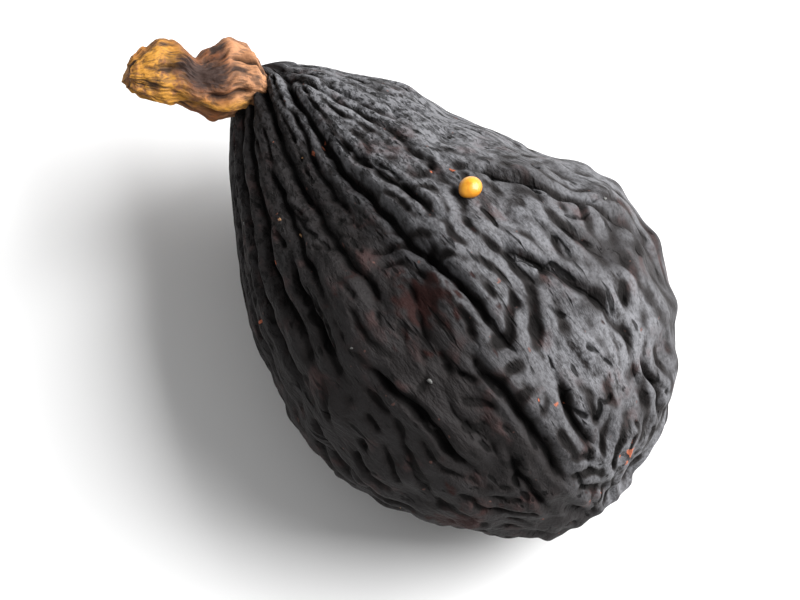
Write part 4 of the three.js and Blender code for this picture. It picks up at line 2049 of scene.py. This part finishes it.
@dataclass
class Studio:
    """The pale table, the soft lights and the camera at the photograph's angle.

    Sizes are in millimetres, and the camera's and the lights' distances in metres.
    """

    right: tuple[float, float, float] = (0.616, 0.788, 0.0)
    up: tuple[float, float, float] = (-0.7405, 0.5786, 0.342)
    back: tuple[float, float, float] = (0.2695, -0.2106, 0.9397)
    mm_per_pixel: float = 0.2275
    origin_pixel: tuple[float, float] = (675.1, 274.7)
    frame_pixels: tuple[float, float, float, float] = (552, 184, 792, 364)
    fig_height: float = 10.0
    distance: float = 0.62
    sensor: float = 36.0
    table_half: float = 800.0
    sky: float = 0.37

    def aim(self) -> Vector:
        """Find the point in the middle of the frame, level with the fig's middle.

        Returns:
            The point, in metres.
        """
        x0, y0, x1, y1 = self.frame_pixels
        over = ((x0 + x1) / 2 - self.origin_pixel[0]) * self.mm_per_pixel
        under = ((y0 + y1) / 2 - self.origin_pixel[1]) * self.mm_per_pixel
        depth = self.fig_height * self.back[2]
        aim = Vector(self.right) * over - Vector(self.up) * under + Vector(self.back) * depth
        return aim * MM

    def camera(self) -> None:
        """Set the camera, with a long lens that frames the fig as the photograph does."""
        data = bpy.data.cameras.new("camera")
        width = (self.frame_pixels[2] - self.frame_pixels[0]) * self.mm_per_pixel * MM
        data.sensor_width = self.sensor
        data.lens = self.sensor * self.distance / width
        data.clip_start, data.clip_end = 0.01, 10
        axes = Matrix((self.right, self.up, self.back)).transposed().to_4x4()
        camera = linked("camera", data)
        camera.matrix_world = Matrix.Translation(self.aim() + Vector(self.back) * self.distance) @ axes
        bpy.context.scene.camera = camera

    def light(self, name: str, direction: Vector, distance: float, size: float, power: float) -> None:
        """Hang a square soft light that faces the fig.

        Args:
            name: Its name.
            direction: The way from the fig to the light.
            distance: How far away it hangs, in metres.
            size: Its side in metres.
            power: Its power in watts.
        """
        data = bpy.data.lights.new(name, "AREA")
        data.shape, data.size, data.energy = "SQUARE", size, power
        lamp = linked(name, data)
        way = direction.normalized()
        lamp.location = self.aim() + way * distance
        lamp.rotation_mode = "QUATERNION"
        lamp.rotation_quaternion = way.to_track_quat("Z", "Y")

    def build(self) -> None:
        """Build the table, the lights, the world and the camera."""
        half = self.table_half
        corners = [(-half, -half, 0), (half, -half, 0), (half, half, 0), (-half, half, 0)]
        mesh = mesh_of("table", np.array(corners), [(0, 1, 2, 3)])
        mesh.materials.append(TableFinish().material())
        linked("table", mesh)

        right, up, back = Vector(self.right), Vector(self.up), Vector(self.back)
        self.light("key", back * 0.6 + up * 0.45 + right * 0.86, 0.55, 0.5, 9.2)
        self.light("fill", back * 0.9 - right * 0.5 + up * 0.3, 0.8, 0.6, 0.25)

        world = bpy.data.worlds.new("studio")
        world.use_nodes = True
        graph = Graph(world.node_tree)
        white = {"Color": (1.0, 1.0, 1.0, 1.0), "Strength": self.sky}
        sky = graph.node("ShaderNodeBackground", {}, white)
        graph.raw("ShaderNodeOutputWorld", {}, {"Surface": sky})
        bpy.context.scene.world = world
        bpy.context.scene.view_settings.view_transform = "Standard"
        self.camera()


def main() -> None:
    """Build the fig and its studio."""
    logging.basicConfig(level=logging.INFO, format="%(name)s: %(message)s")
    form = FigForm()
    relief = SkinRelief(form)
    pattern = WrinklePattern(form, relief)
    pattern.grow()
    skin = FigSkin(form, relief, pattern)
    skin.build()
    Stem(form).build()
    EyeScales(form).build()
    StuckSeed(form).build()
    Crumbs(skin).build()
    Studio().build()


if __name__ == "__main__":
    main()
